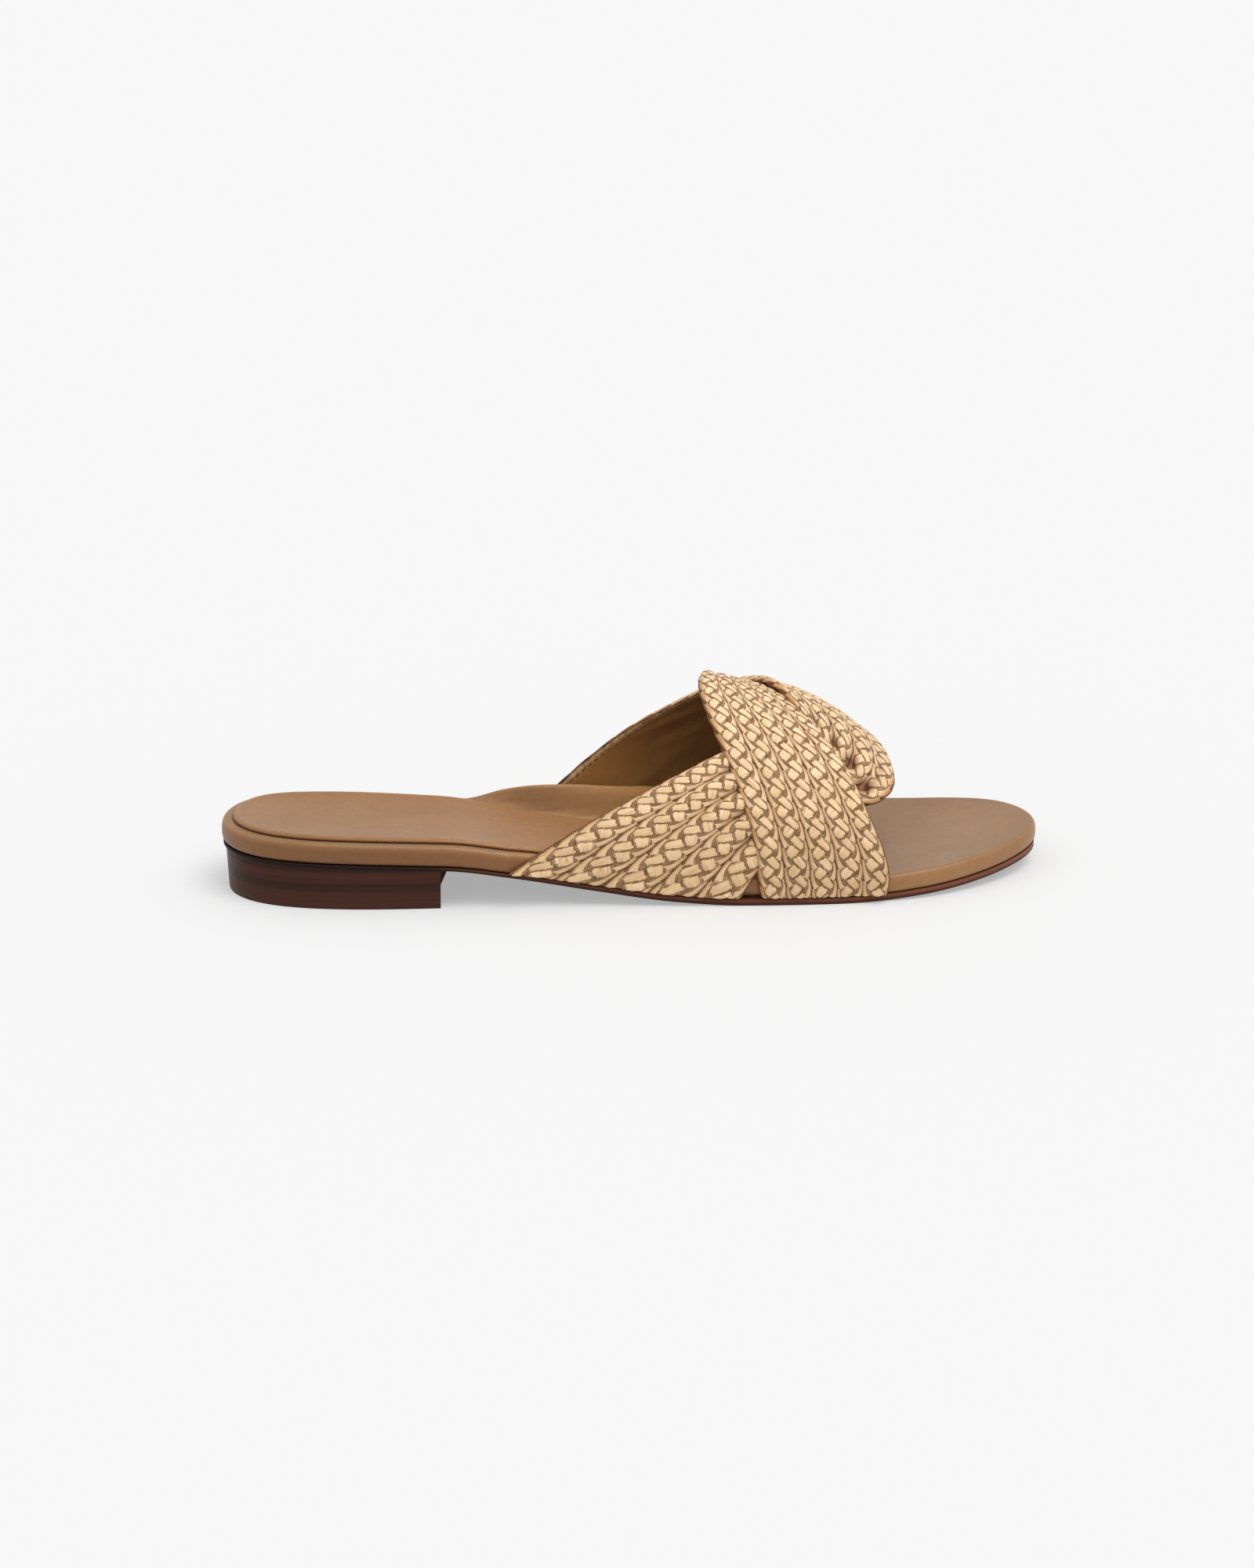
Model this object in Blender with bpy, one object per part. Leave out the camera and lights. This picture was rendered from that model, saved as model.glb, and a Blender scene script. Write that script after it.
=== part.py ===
"""Right slide sandal: two braided straps twisted into a knot on a leather footbed with a low heel.

Metres, +Z up. The toe points along +X, the outer (lateral) side faces -Y and the inner (medial)
side faces +Y. The origin is on the floor, under the middle of the whole sandal.
"""
import math

import bmesh
import bpy
import numpy as np

# Driving sizes, each set by itself
LENGTH = 0.250              # heel to toe, over the wrapped footbed
BALL_WIDTH = 0.082          # widest part of the forefoot
HEEL_LIFT = 0.0134          # floor to the underside of the outsole at the heel
TOE_SPRING = 0.0050         # floor to the underside of the outsole at the tip of the toe
INSTEP_HEIGHT = 0.0594      # floor to the inside of the knot at its highest point
ARCH_RISE = 0.0102          # how far the inner edge of the footbed rises along the arch
CUP_DEPTH = 0.0022          # hollow of the footbed under the heel
CUP_END = 0.036             # length over which the hollow fades out at the heel and at the toe
OUTSOLE_HEEL = 0.0011       # outsole thickness over the heel
OUTSOLE_TOE = 0.0021        # outsole thickness in the forefoot
OUTSOLE_INSET = 0.0004      # outsole's edge, inside the widest line of the wrapped footbed
PAD_HEEL = 0.0068           # wrapped footbed, side height at the heel
PAD_TOE = 0.0058            # wrapped footbed, side height in the forefoot
SOCK_THICKNESS = 0.0011     # raised sock pad
SOCK_MARGIN = 0.0036        # rim of footbed left outside the sock pad
STRAP_WALL = 0.0019         # lining and backing of a strap, at the grooves between braids
BRAID_RISE = 0.0008         # how far each braid stands above its grooves
STRAP_STEP = 0.0017         # rise of one strap lying over the other, joined where they cross
STRAP_RECESS = 0.0023       # how far the footbed's side is set back behind the straps
TOP_PIECE = 0.0046          # wear layer under the heel block
HEEL_INSET = 0.0019         # heel block's side, inside the edge of the wrap
BREAST_SLANT = 0.0028       # forward lean of the heel's front face, floor to outsole
BREAST_AT = 0.256           # foot of the heel's front face, as a share of the length
SOCK_END = 0.640            # front end of the sock pad, as a share of the length
SOCK_END_ROUND = 0.020      # length of its rounded front end
SOCK_HEEL_ROUND = 0.024     # length of its rounded heel end
BRAIDS = 5                  # braids side by side in each strap
CLEARANCE = 0.0003          # between pieces that touch
SAFE = 0.001                # smallest width divided by, where the sole runs out to its ends

# Shares of those sizes
WAIST_START = 0.20          # where heel thicknesses begin to change to forefoot ones, along
WAIST_LENGTH = 0.45         # how much of the length that change takes
RECESS_MARGIN = 0.02        # how far the recess for the straps runs past them, of the length
RECESS_RAMP = 0.04          # length over which that recess deepens
ARCH_CREST = 0.94           # where the arch levels out, of the way to the inner edge
OUTSOLE_ROUND = 0.25        # rounding of the outsole's edges, of its heel thickness
HEEL_TAPER = 0.4            # how much of its inset the heel block loses from floor to sole
KNOT_SPRING = 0.25          # height of the pad over which the straps already bend inwards

# Plan outline, walked from the heel along the lateral side and back along the medial side.
# along: share of the length; across: share of the ball width, lateral side negative.
OUTLINE = (
    # place               along   across
    ("heel back",         0.000,  0.000),
    ("heel corner",       0.034, -0.215),
    ("heel side",         0.150, -0.343),
    ("waist",             0.380, -0.379),
    ("ball",              0.660, -0.454),
    ("toe side",          0.850, -0.418),
    ("toe corner",        0.963, -0.212),
    ("toe tip",           1.000,  0.010),
    ("inner toe corner",  0.963,  0.300),
    ("inner toe side",    0.850,  0.462),
    ("inner ball",        0.700,  0.546),
    ("inner waist",       0.430,  0.272),
    ("inner heel side",   0.150,  0.318),
    ("inner heel corner", 0.034,  0.250),
)

# Underside of the outsole. rise: share of the heel lift; spring: share of the toe spring.
UNDERSIDE = (
    # along  rise   spring
    (0.000,  1.03,  0.00),
    (0.120,  1.00,  0.00),
    (0.265,  0.90,  0.00),
    (0.340,  0.70,  0.00),
    (0.440,  0.37,  0.00),
    (0.540,  0.09,  0.00),
    (0.620,  0.00,  0.00),
    (0.740,  0.00,  0.00),
    (0.840,  0.00,  0.22),
    (0.920,  0.00,  0.55),
    (1.000,  0.00,  1.00),
)

# Footbed top. arch: share of the arch rise; cup: share of the cup depth;
# sock: inner edge of the sock pad, as a share of the way from the middle to the inner edge.
FOOTBED = (
    # along  arch   cup   sock
    (0.000,  0.00,  0.75, 0.86),
    (0.140,  0.00,  1.00, 0.86),
    (0.290,  0.00,  0.85, 0.84),
    (0.350,  0.52,  0.72, 0.76),
    (0.400,  0.90,  0.62, 0.70),
    (0.450,  1.00,  0.55, 0.65),
    (0.520,  1.00,  0.50, 0.60),
    (0.620,  0.45,  0.50, 0.56),
    (0.700,  0.00,  0.50, 0.70),
    (1.000,  0.00,  0.40, 0.86),
)

# Rounded side of the wrapped footbed, bottom to top.
# inset: share of the pad height; height: share of the way up the side.
EDGE_ROLL = (
    # inset  height
    (0.16,   0.00),
    (0.03,   0.16),
    (0.00,   0.42),
    (0.03,   0.68),
    (0.16,   0.89),
    (0.40,   1.00),
)

# Inside of the knot along the middle of the foot. height: share of the instep height.
INSTEP = (
    # along  height
    (0.300,  0.86),
    (0.450,  0.98),
    (0.580,  1.00),
    (0.640,  0.94),
    (0.700,  0.86),
    (0.745,  0.76),
    (0.800,  0.58),
    (0.850,  0.40),
)

# One braid across, from groove to groove. height: share of the braid rise.
BRAID_SECTION = (
    # across height
    (0.00,   0.00),
    (0.20,   0.80),
    (0.50,   1.00),
    (0.80,   0.80),
)

# The straps, from the lateral foot over the knot to the medial foot. Each row is a line across
# the strap. along: share of the length; turn: -1 at the lateral edge of the sole, 0 over the
# middle of the foot, 1 at the medial edge; layer: how many strap steps it lies above the lining.
FRONT_STRAP = (
    # rear along, turn   front along, turn   layer
    (0.640, -1.00,       0.790, -1.00,       0.00),
    (0.633, -0.87,       0.792, -0.90,       0.60),
    (0.624, -0.71,       0.785, -0.74,       1.00),
    (0.609, -0.57,       0.770, -0.59,       1.00),
    (0.595, -0.44,       0.753, -0.43,       1.00),
    (0.584, -0.31,       0.726, -0.27,       1.00),
    (0.578, -0.17,       0.702, -0.17,       0.95),
    (0.580, -0.04,       0.686, -0.07,       0.85),
    (0.588,  0.10,       0.669,  0.03,       0.60),
    (0.602,  0.26,       0.662,  0.14,       0.35),
    (0.624,  0.44,       0.674,  0.27,       0.15),
    (0.650,  0.62,       0.724,  0.44,       0.00),
    (0.668,  0.82,       0.790,  0.74,       0.00),
    (0.674,  1.00,       0.824,  1.00,       0.00),
)
REAR_STRAP = (
    # rear along, turn   front along, turn   layer
    (0.336, -1.00,       0.616, -1.00,       0.00),
    (0.416, -0.80,       0.627, -0.94,       0.00),
    (0.503, -0.63,       0.650, -0.84,       0.00),
    (0.600, -0.46,       0.690, -0.72,       0.00),
    (0.660, -0.33,       0.733, -0.62,       0.00),
    (0.696, -0.215,      0.770, -0.53,       0.30),
    (0.694, -0.145,      0.803, -0.36,       1.10),
    (0.680, -0.07,       0.813, -0.15,       1.60),
    (0.664,  0.02,       0.808,  0.05,       1.60),
    (0.652,  0.13,       0.786,  0.24,       1.40),
    (0.628,  0.28,       0.752,  0.42,       1.12),
    (0.585,  0.42,       0.712,  0.60,       0.95),
    (0.515,  0.54,       0.674,  0.78,       0.70),
    (0.430,  0.75,       0.655,  0.92,       0.30),
    (0.356,  1.00,       0.648,  1.00,       0.00),
)

SOLE_STATIONS = 44          # lines across the sole, closer together at its ends
HEEL_STATIONS = 14          # lines across the heel block
STRAP_STATIONS = 40         # lines across each strap
FLAT_COLUMNS = 7            # columns across the footbed outside the arch
RISE_COLUMNS = 4            # columns up the arch
SOCK_COLUMNS = 7            # columns across the sock pad
OUTLINE_STEPS = 60          # steps of the outline's curve between two of its rows
STRAP_STEPS = 24            # steps of a strap's curve between two of its rows
SHARP = math.radians(38)    # edges bent more than this are drawn sharp
LATERAL, MEDIAL = -1, 1


def clear_scene():
    for thing in list(bpy.data.objects):
        bpy.data.objects.remove(thing, do_unlink=True)


def material(name, colour, roughness):
    finish = bpy.data.materials.new(name)
    finish.use_nodes = True
    shader = finish.node_tree.nodes["Principled BSDF"]
    shader.inputs["Base Color"].default_value = (*colour, 1.0)
    shader.inputs["Roughness"].default_value = roughness
    shader.inputs["Metallic"].default_value = 0.0
    finish.diffuse_color = (*colour, 1.0)
    return finish


def add_object(name, mesh_data, finish):
    thing = bpy.data.objects.new(name, mesh_data)
    bpy.context.scene.collection.objects.link(thing)
    mesh_data.materials.append(finish)
    return thing


def solid_object(bm, name, finish):
    """One closed solid from the faces that were made, with its outside facing outwards."""
    bmesh.ops.recalc_face_normals(bm, faces=bm.faces)
    mesh_data = bpy.data.meshes.new(name)
    bm.to_mesh(mesh_data)
    bm.free()
    mesh_data.shade_smooth()
    mesh_data.set_sharp_from_angle(angle=SHARP)
    return add_object(name, mesh_data, finish)


def smooth_table(rows, column, at):
    """A column of a table at the places `at`, on a curve that adds no bumps between the rows."""
    x = np.array([row[0] for row in rows], float)
    y = np.array([row[column] for row in rows], float)
    step = np.diff(x)
    slope = np.diff(y) / step
    tangent = np.zeros_like(y)
    same = slope[:-1] * slope[1:] > 0
    mean = 2.0 * slope[:-1] * slope[1:] / np.where(same, slope[:-1] + slope[1:], 1.0)
    tangent[1:-1] = np.where(same, mean, 0.0)
    tangent[0], tangent[-1] = slope[0], slope[-1]
    at = np.clip(at, x[0], x[-1])
    i = np.clip(np.searchsorted(x, at) - 1, 0, len(step) - 1)
    t = (at - x[i]) / step[i]
    return (y[i] * (1 + 2 * t) * (1 - t) ** 2 + tangent[i] * step[i] * t * (1 - t) ** 2
            + y[i + 1] * (3 - 2 * t) * t ** 2 + tangent[i + 1] * step[i] * t ** 2 * (t - 1))


def through_points(points, closed, steps):
    """A smooth curve through the points, with no kinks at them, as rows of numbers."""
    points = np.asarray(points, float)
    if closed:
        points = np.vstack([points, points[:1]])
    count = len(points)
    gap = np.sqrt(np.linalg.norm(np.diff(points, axis=0), axis=1))[:, None]
    slope = np.diff(points, axis=0) / gap
    system = np.zeros((count, count))
    target = np.zeros_like(points)
    for i in range(1, count - 1):
        before, after = 1.0 / gap[i - 1, 0], 1.0 / gap[i, 0]
        system[i, i - 1:i + 2] = before, 2.0 * (before + after), after
        target[i] = 3.0 * (slope[i - 1] * before + slope[i] * after)
    system[0, :2] = 2.0, 1.0
    target[0] = 3.0 * slope[0]
    system[-1, -2:] = 1.0, 2.0
    target[-1] = 3.0 * slope[-1]
    if closed:
        before, after = 1.0 / gap[-1, 0], 1.0 / gap[0, 0]
        system[0] = 0.0
        system[0, [-2, 0, 1]] = before, 2.0 * (before + after), after
        target[0] = 3.0 * (slope[-1] * before + slope[0] * after)
        system[-1] = 0.0
        system[-1, [0, -1]] = 1.0, -1.0
        target[-1] = 0.0
    tangent = np.linalg.solve(system, target)
    t = np.linspace(0.0, 1.0, steps, endpoint=False)[:, None]
    spans = [points[i] * (1 + 2 * t) * (1 - t) ** 2 + tangent[i] * gap[i] * t * (1 - t) ** 2
             + points[i + 1] * (3 - 2 * t) * t ** 2 + tangent[i + 1] * gap[i] * t ** 2 * (t - 1)
             for i in range(count - 1)]
    return np.vstack(spans + [points[-1:]])


def place(along):
    """X of a place given as a share of the length."""
    return (np.asarray(along) - 0.5) * LENGTH


def share(x):
    return np.asarray(x) / LENGTH + 0.5


def outline_sides():
    """The two sides of the plan outline, heel to toe, as (x, y) rows for each side."""
    points = [(place(along), across * BALL_WIDTH) for _, along, across in OUTLINE]
    curve = through_points(points, True, OUTLINE_STEPS)
    curve[:, 0] = np.clip(curve[:, 0], place(0.0), place(1.0))
    tip = int(np.argmax(curve[:, 0]))
    lateral = curve[:tip + 1]
    medial = curve[tip:][::-1]
    return {LATERAL: lateral, MEDIAL: medial}


SIDES = outline_sides()


def half_width(x, side):
    """Distance of the plan outline from the middle line, on one side."""
    line = SIDES[side]
    order = np.argsort(line[:, 0], kind="stable")
    return side * np.interp(x, line[order, 0], line[order, 1])


def underside(x):
    """Height of the outsole's lower face, which lifts at the heel and at the toe."""
    return (HEEL_LIFT * smooth_table(UNDERSIDE, 1, share(x))
            + TOE_SPRING * smooth_table(UNDERSIDE, 2, share(x)))


def blend(x, at_heel, at_toe):
    """A size that changes from heel to forefoot along the waist."""
    t = np.clip((share(x) - WAIST_START) / WAIST_LENGTH, 0.0, 1.0)
    return at_heel + (at_toe - at_heel) * t * t * (3 - 2 * t)


def outsole_top(x):
    """Height of the outsole's upper face, which carries the footbed."""
    return underside(x) + blend(x, OUTSOLE_HEEL, OUTSOLE_TOE)


def pad_height(x):
    return blend(x, PAD_HEEL, PAD_TOE)


def wrap_inset(x):
    """How far the side of the footbed is set back to take the straps."""
    rear, front = REAR_STRAP[0][0] - RECESS_MARGIN, FRONT_STRAP[-1][2] + RECESS_MARGIN
    t = np.clip(np.minimum(share(x) - rear, front - share(x)) / RECESS_RAMP, 0.0, 1.0)
    return STRAP_RECESS * t * t * (3 - 2 * t)


def wrap_side(x, side):
    """Distance of the footbed's side from the middle line, set back behind the straps."""
    return half_width(x, side) - wrap_inset(x)


def arch_start(x):
    """Line where the footbed begins to rise, which is also the inner edge of the sock pad."""
    return wrap_side(x, MEDIAL) * smooth_table(FOOTBED, 3, share(x))


def arch(x, y):
    """Rise of the footbed towards its inner edge."""
    start = arch_start(x)
    reach = np.maximum(wrap_side(x, MEDIAL) * ARCH_CREST - start, SAFE)
    t = np.clip((y - start) / reach, 0.0, 1.0)
    return ARCH_RISE * smooth_table(FOOTBED, 1, share(x)) * t * t * (3 - 2 * t)


def footbed_top(x, y):
    """Height of the footbed: hollow under the heel, raised along the arch."""
    edge = np.where(y < 0, wrap_side(x, LATERAL), wrap_side(x, MEDIAL))
    across = np.clip(np.abs(y) / np.maximum(edge, SAFE), 0.0, 1.0)
    end = np.clip(np.minimum(x - place(0.0), place(1.0) - x) / CUP_END, 0.0, 1.0)
    hollow = (1.0 - across ** 2) * (1.0 - (1.0 - end) ** 2)
    cup = CUP_DEPTH * smooth_table(FOOTBED, 2, share(x)) * hollow
    return outsole_top(x) + pad_height(x) - cup + arch(x, y)


def stations(first, last, count):
    """Places from first to last, closer together towards both ends."""
    return first + (last - first) * (0.5 - 0.5 * np.cos(np.linspace(0.0, math.pi, count + 1)))


class Ring:
    """A closed line round a sole piece: one point at each end and a pair at each station."""

    def __init__(self, lateral, medial):
        self.lateral = np.asarray(lateral, float)
        self.medial = np.asarray(medial, float)

    def points(self):
        return np.vstack([self.lateral, self.medial[-2:0:-1]])


def inset_ring(line, inset, height):
    """The ring of an outline moved inwards. line: x, lateral y and medial y at each station."""
    x, lateral, medial = line
    loop = np.vstack([np.c_[x, lateral], np.c_[x, medial][-2:0:-1]])
    ahead, behind = np.roll(loop, -1, 0), np.roll(loop, 1, 0)
    tangent = ahead - behind
    inward = np.c_[-tangent[:, 1], tangent[:, 0]]
    inward /= np.linalg.norm(inward, axis=1)[:, None]
    inset = np.broadcast_to(inset, len(x))
    amount = np.r_[inset, inset[-2:0:-1]]
    moved = loop + inward * amount[:, None]
    count = len(x)
    lateral_xy = moved[:count]
    medial_xy = np.vstack([moved[:1], moved[count:][::-1], moved[count - 1:count]])
    return Ring(np.c_[lateral_xy, height(lateral_xy[:, 0], lateral_xy[:, 1])],
                np.c_[medial_xy, height(medial_xy[:, 0], medial_xy[:, 1])])


def cap_rows(ring, columns, height):
    """Points across the inside of a ring, at each station between its ends."""
    rows = []
    for a, b in zip(ring.lateral[1:-1], ring.medial[1:-1]):
        xy = a[:2] + (b[:2] - a[:2]) * columns(a, b)[:, None]
        rows.append(np.c_[xy, height(xy[:, 0], xy[:, 1])])
    return rows


def even_columns(count):
    """Columns at even steps between the two sides of a cap."""
    return lambda a, b: np.linspace(0.0, 1.0, count + 1)[1:-1]


def footbed_columns(a, b):
    """Columns across the footbed, with one along the line where the arch begins to rise."""
    crease = (arch_start(a[0]) - a[1]) / (b[1] - a[1])
    step = 1.0 / (FLAT_COLUMNS + RISE_COLUMNS)
    crease = min(max(crease, RISE_COLUMNS * step), 1.0 - 0.5 * step)
    flat = np.linspace(0.0, crease, FLAT_COLUMNS + 1)[1:]
    rise = np.linspace(crease, 1.0, RISE_COLUMNS + 1)[1:-1]
    return np.append(flat, rise)


def ring_solid(name, rings, finish, top=None, bottom=None):
    """A closed solid from rings, lowest first, with a cap across the first and the last.
    top and bottom: the columns across that cap and its height, or nothing for a flat one."""
    bm = bmesh.new()
    loops = [[bm.verts.new(p) for p in ring.points()] for ring in rings]
    count = len(loops[0])
    for low, high in zip(loops, loops[1:]):
        for i in range(count):
            j = (i + 1) % count
            bm.faces.new((low[i], low[j], high[j], high[i]))
    for loop, ring, cap in ((loops[0], rings[0], bottom), (loops[-1], rings[-1], top)):
        last = len(ring.lateral) - 1
        inner = cap_rows(ring, *cap) if cap else [[]] * (last - 1)
        rows = [[loop[0]]]
        for i in range(1, last):
            middle = [bm.verts.new(p) for p in inner[i - 1]]
            rows.append([loop[i]] + middle + [loop[count - i]])
        rows.append([loop[last]])
        for a, b in zip(rows, rows[1:]):
            for k in range(max(len(a), len(b)) - 1):
                corner = [a[min(k, len(a) - 1)], b[min(k, len(b) - 1)],
                          b[min(k + 1, len(b) - 1)], a[min(k + 1, len(a) - 1)]]
                bm.faces.new([v for n, v in enumerate(corner) if v is not corner[n - 1]])
    return solid_object(bm, name, finish)


def sole_line():
    """The outline at each station: x, lateral y and medial y."""
    x = stations(place(0.0), place(1.0), SOLE_STATIONS)
    lateral, medial = -half_width(x, LATERAL), half_width(x, MEDIAL)
    lateral[0] = medial[0] = SIDES[LATERAL][0, 1]
    lateral[-1] = medial[-1] = SIDES[LATERAL][-1, 1]
    return x, lateral, medial


def build_outsole():
    edge = OUTSOLE_HEEL * OUTSOLE_ROUND
    line = sole_line()
    rings = [inset_ring(line, OUTSOLE_INSET + edge, lambda x, y: underside(x)),
             inset_ring(line, OUTSOLE_INSET, lambda x, y: underside(x) + edge),
             inset_ring(line, OUTSOLE_INSET, lambda x, y: outsole_top(x) - edge),
             inset_ring(line, OUTSOLE_INSET + edge, lambda x, y: outsole_top(x))]
    finish = material("outsole_leather", (0.20, 0.065, 0.035), 0.55)
    return ring_solid("outsole", rings, finish)


def build_midsole():
    line = sole_line()
    x = line[0]
    rings = []
    for inset, height in EDGE_ROLL:
        def level(px, py, height=height):
            low = outsole_top(px) + CLEARANCE
            return low + (footbed_top(px, py) - low) * height
        rings.append(inset_ring(line, wrap_inset(x) + inset * pad_height(x), level))
    finish = material("footbed_leather", (0.42, 0.27, 0.15), 0.5)
    return ring_solid("midsole", rings, finish, top=(footbed_columns, footbed_top))


def sock_line():
    """Outline of the sock pad, from the heel to its rounded front end under the straps."""
    rear, front = place(0.0) + SOCK_MARGIN, place(SOCK_END)
    x = stations(rear, front, SOLE_STATIONS)
    lateral = -(wrap_side(x, LATERAL) - SOCK_MARGIN - wrap_inset(x) * 0.5)
    medial = arch_start(x)
    middle = 0.5 * (lateral + medial)
    for end in (rear, front):
        reach = SOCK_END_ROUND if end == front else SOCK_HEEL_ROUND
        t = np.clip(np.abs(x - end) / reach, 0.0, 1.0)
        bulge = np.sqrt(1.0 - (1.0 - t) ** 2)
        lateral = middle + (lateral - middle) * bulge
        medial = middle + (medial - middle) * bulge
    return x, lateral, medial


def build_insole():
    line = sock_line()
    edge = SOCK_THICKNESS * 0.5

    def above(rise):
        return lambda x, y: footbed_top(x, y) + CLEARANCE + rise
    rings = [inset_ring(line, edge, above(0.0)),
             inset_ring(line, 0.0, above(edge)),
             inset_ring(line, edge, above(SOCK_THICKNESS))]
    columns = even_columns(SOCK_COLUMNS)
    finish = material("sock_leather", (0.45, 0.29, 0.16), 0.5)
    return ring_solid("insole", rings, finish, top=(columns, above(SOCK_THICKNESS)),
                      bottom=(columns, above(0.0)))


def heel_ring(inset, height):
    """Corners of the heel block at one height: the rear of the sole, cut across at the breast."""
    back, front = place(0.0), place(BREAST_AT)
    x = np.append(stations(back, 2 * front - back, 2 * HEEL_STATIONS)[:HEEL_STATIONS], front)
    narrow = 1.0 - inset / half_width(front, LATERAL)
    shorter = 1.0 - inset / (front - back)
    sides = []
    for side in (LATERAL, MEDIAL):
        y = side * half_width(x, side) * narrow
        y[0] = SIDES[LATERAL][0, 1]
        moved = front + (x - front) * shorter
        z = height(moved)
        moved[-1] += BREAST_SLANT * z[-1] / HEEL_LIFT
        sides.append(np.c_[moved, y, z])
    return np.vstack([sides[0], sides[1][:0:-1]])


def heel_solid(name, low, high, finish):
    """A closed block between two rings, with its front face leaning forward as it rises."""
    bm = bmesh.new()
    low_loop, high_loop = [[bm.verts.new(p) for p in ring] for ring in (low, high)]
    count = len(low_loop)
    for i in range(count):
        j = (i + 1) % count
        bm.faces.new((low_loop[i], low_loop[j], high_loop[j], high_loop[i]))
    for loop in (low_loop, high_loop):
        bm.faces.new((loop[0], loop[1], loop[-1]))
        for i in range(2, HEEL_STATIONS + 1):
            bm.faces.new((loop[i - 1], loop[i], loop[count - i], loop[count - i + 1]))
    return solid_object(bm, name, finish)


def build_heel():
    taper = HEEL_INSET * HEEL_TAPER
    seam = HEEL_INSET - taper * TOP_PIECE / HEEL_LIFT
    block = material("heel_stack", (0.16, 0.06, 0.035), 0.5)
    wear = material("heel_wear_layer", (0.27, 0.10, 0.06), 0.55)
    heel_solid("heel_top_piece", heel_ring(HEEL_INSET, lambda x: 0.0 * x),
               heel_ring(seam, lambda x: 0.0 * x + TOP_PIECE), wear)
    heel_solid("heel", heel_ring(seam, lambda x: 0.0 * x + TOP_PIECE + CLEARANCE),
               heel_ring(HEEL_INSET - taper, lambda x: underside(x) - CLEARANCE), block)


def instep(x):
    """Height of the inside of the knot over the middle of the foot."""
    return INSTEP_HEIGHT * smooth_table(INSTEP, 1, share(x))


def knot_form(along, turn, lift):
    """A point on the inside of the knot, raised by lift. The section across the foot is an arch
    that stands on straight sides, from the top of the outsole up past the footbed's edge."""
    x = place(along)
    side = np.where(turn < 0, LATERAL, MEDIAL)
    wide = np.where(turn < 0, wrap_side(x, LATERAL), wrap_side(x, MEDIAL)) + CLEARANCE
    foot = outsole_top(x) + CLEARANCE
    wing = np.where(turn < 0, 0.0, ARCH_RISE * smooth_table(FOOTBED, 1, share(x)))
    spring = outsole_top(x) + pad_height(x) * (1.0 - KNOT_SPRING) + wing
    tall = instep(x) - spring
    straight = (spring - foot) / tall
    angle = np.abs(turn) * (0.5 * math.pi + straight)
    bent = np.minimum(angle, 0.5 * math.pi)
    y = side * (wide + lift) * np.sin(bent)
    z = spring + (tall + lift) * np.cos(bent) - tall * (angle - bent)
    return np.stack([x, y, z], -1)


class Strap:
    """A band over the form. across runs 0 to 1 from its rear edge to its front edge."""

    def __init__(self, rows):
        self.fine = through_points(rows, False, STRAP_STEPS)
        middle = self.point(np.arange(len(self.fine)), 0.5, 0.0)
        steps = np.linalg.norm(np.diff(middle, axis=0), axis=1)
        self.run = np.r_[0.0, np.cumsum(steps)]
        self.length = self.run[-1]

    def row(self, where):
        index = np.arange(len(self.fine))
        return np.stack([np.interp(where, index, self.fine[:, k]) for k in range(5)], -1)

    def point(self, where, across, lift):
        row = self.row(where)
        along = row[..., 0] + (row[..., 2] - row[..., 0]) * across
        turn = row[..., 1] + (row[..., 3] - row[..., 1]) * across
        return knot_form(along, np.clip(turn, -1.0, 1.0), row[..., 4] * STRAP_STEP + lift)

    def stations(self, count):
        return np.interp(np.linspace(0.0, self.length, count + 1), self.run,
                         np.arange(len(self.fine)))


def strap_section():
    """Across and lift of the points round a strap's section: braided outside, then lining."""
    section = []
    for braid in range(BRAIDS):
        for part, rise in BRAID_SECTION:
            section.append(((braid + part) / BRAIDS, STRAP_WALL + BRAID_RISE * rise))
    section.append((1.0, STRAP_WALL))
    for across in np.linspace(1.0, 0.0, BRAIDS + 1):
        section.append((across, 0.0))
    return section


def strap_solid(name, rows, finish):
    strap = Strap(rows)
    bm = bmesh.new()
    section = strap_section()
    loops = []
    for where in strap.stations(STRAP_STATIONS):
        loops.append([bm.verts.new(strap.point(where, across, lift)) for across, lift in section])
    count = len(section)
    for a, b in zip(loops, loops[1:]):
        for i in range(count):
            j = (i + 1) % count
            bm.faces.new((a[i], a[j], b[j], b[i]))
    bm.faces.new(loops[0])
    bm.faces.new(loops[-1])
    bmesh.ops.triangulate(bm, faces=bm.faces)
    return solid_object(bm, name, finish)


def build_upper():
    finish = material("braided_straw", (0.72, 0.55, 0.33), 0.8)
    upper = strap_solid("upper", FRONT_STRAP, finish)
    other = strap_solid("rear_strap", REAR_STRAP, finish)
    other.hide_render = True
    other.display_type = "WIRE"
    join = upper.modifiers.new("join the straps", "BOOLEAN")
    join.operation = "UNION"
    join.object = other
    return upper


def stand_on_origin():
    """Moves everything sideways, so that the origin is under the middle of the whole sandal."""
    bpy.context.view_layer.update()
    pieces = [thing for thing in bpy.data.objects if thing.type == "MESH"]
    corners = np.array([point for thing in pieces for point in thing.bound_box])
    middle = 0.5 * (corners.min(0) + corners.max(0))
    for thing in pieces:
        thing.location.x -= middle[0]
        thing.location.y -= middle[1]


def main():
    clear_scene()
    build_outsole()
    build_midsole()
    build_insole()
    build_heel()
    build_upper()
    stand_on_origin()


main()
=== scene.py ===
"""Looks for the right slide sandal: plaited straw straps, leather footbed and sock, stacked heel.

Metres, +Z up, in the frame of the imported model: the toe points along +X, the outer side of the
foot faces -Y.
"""
import math

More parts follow.
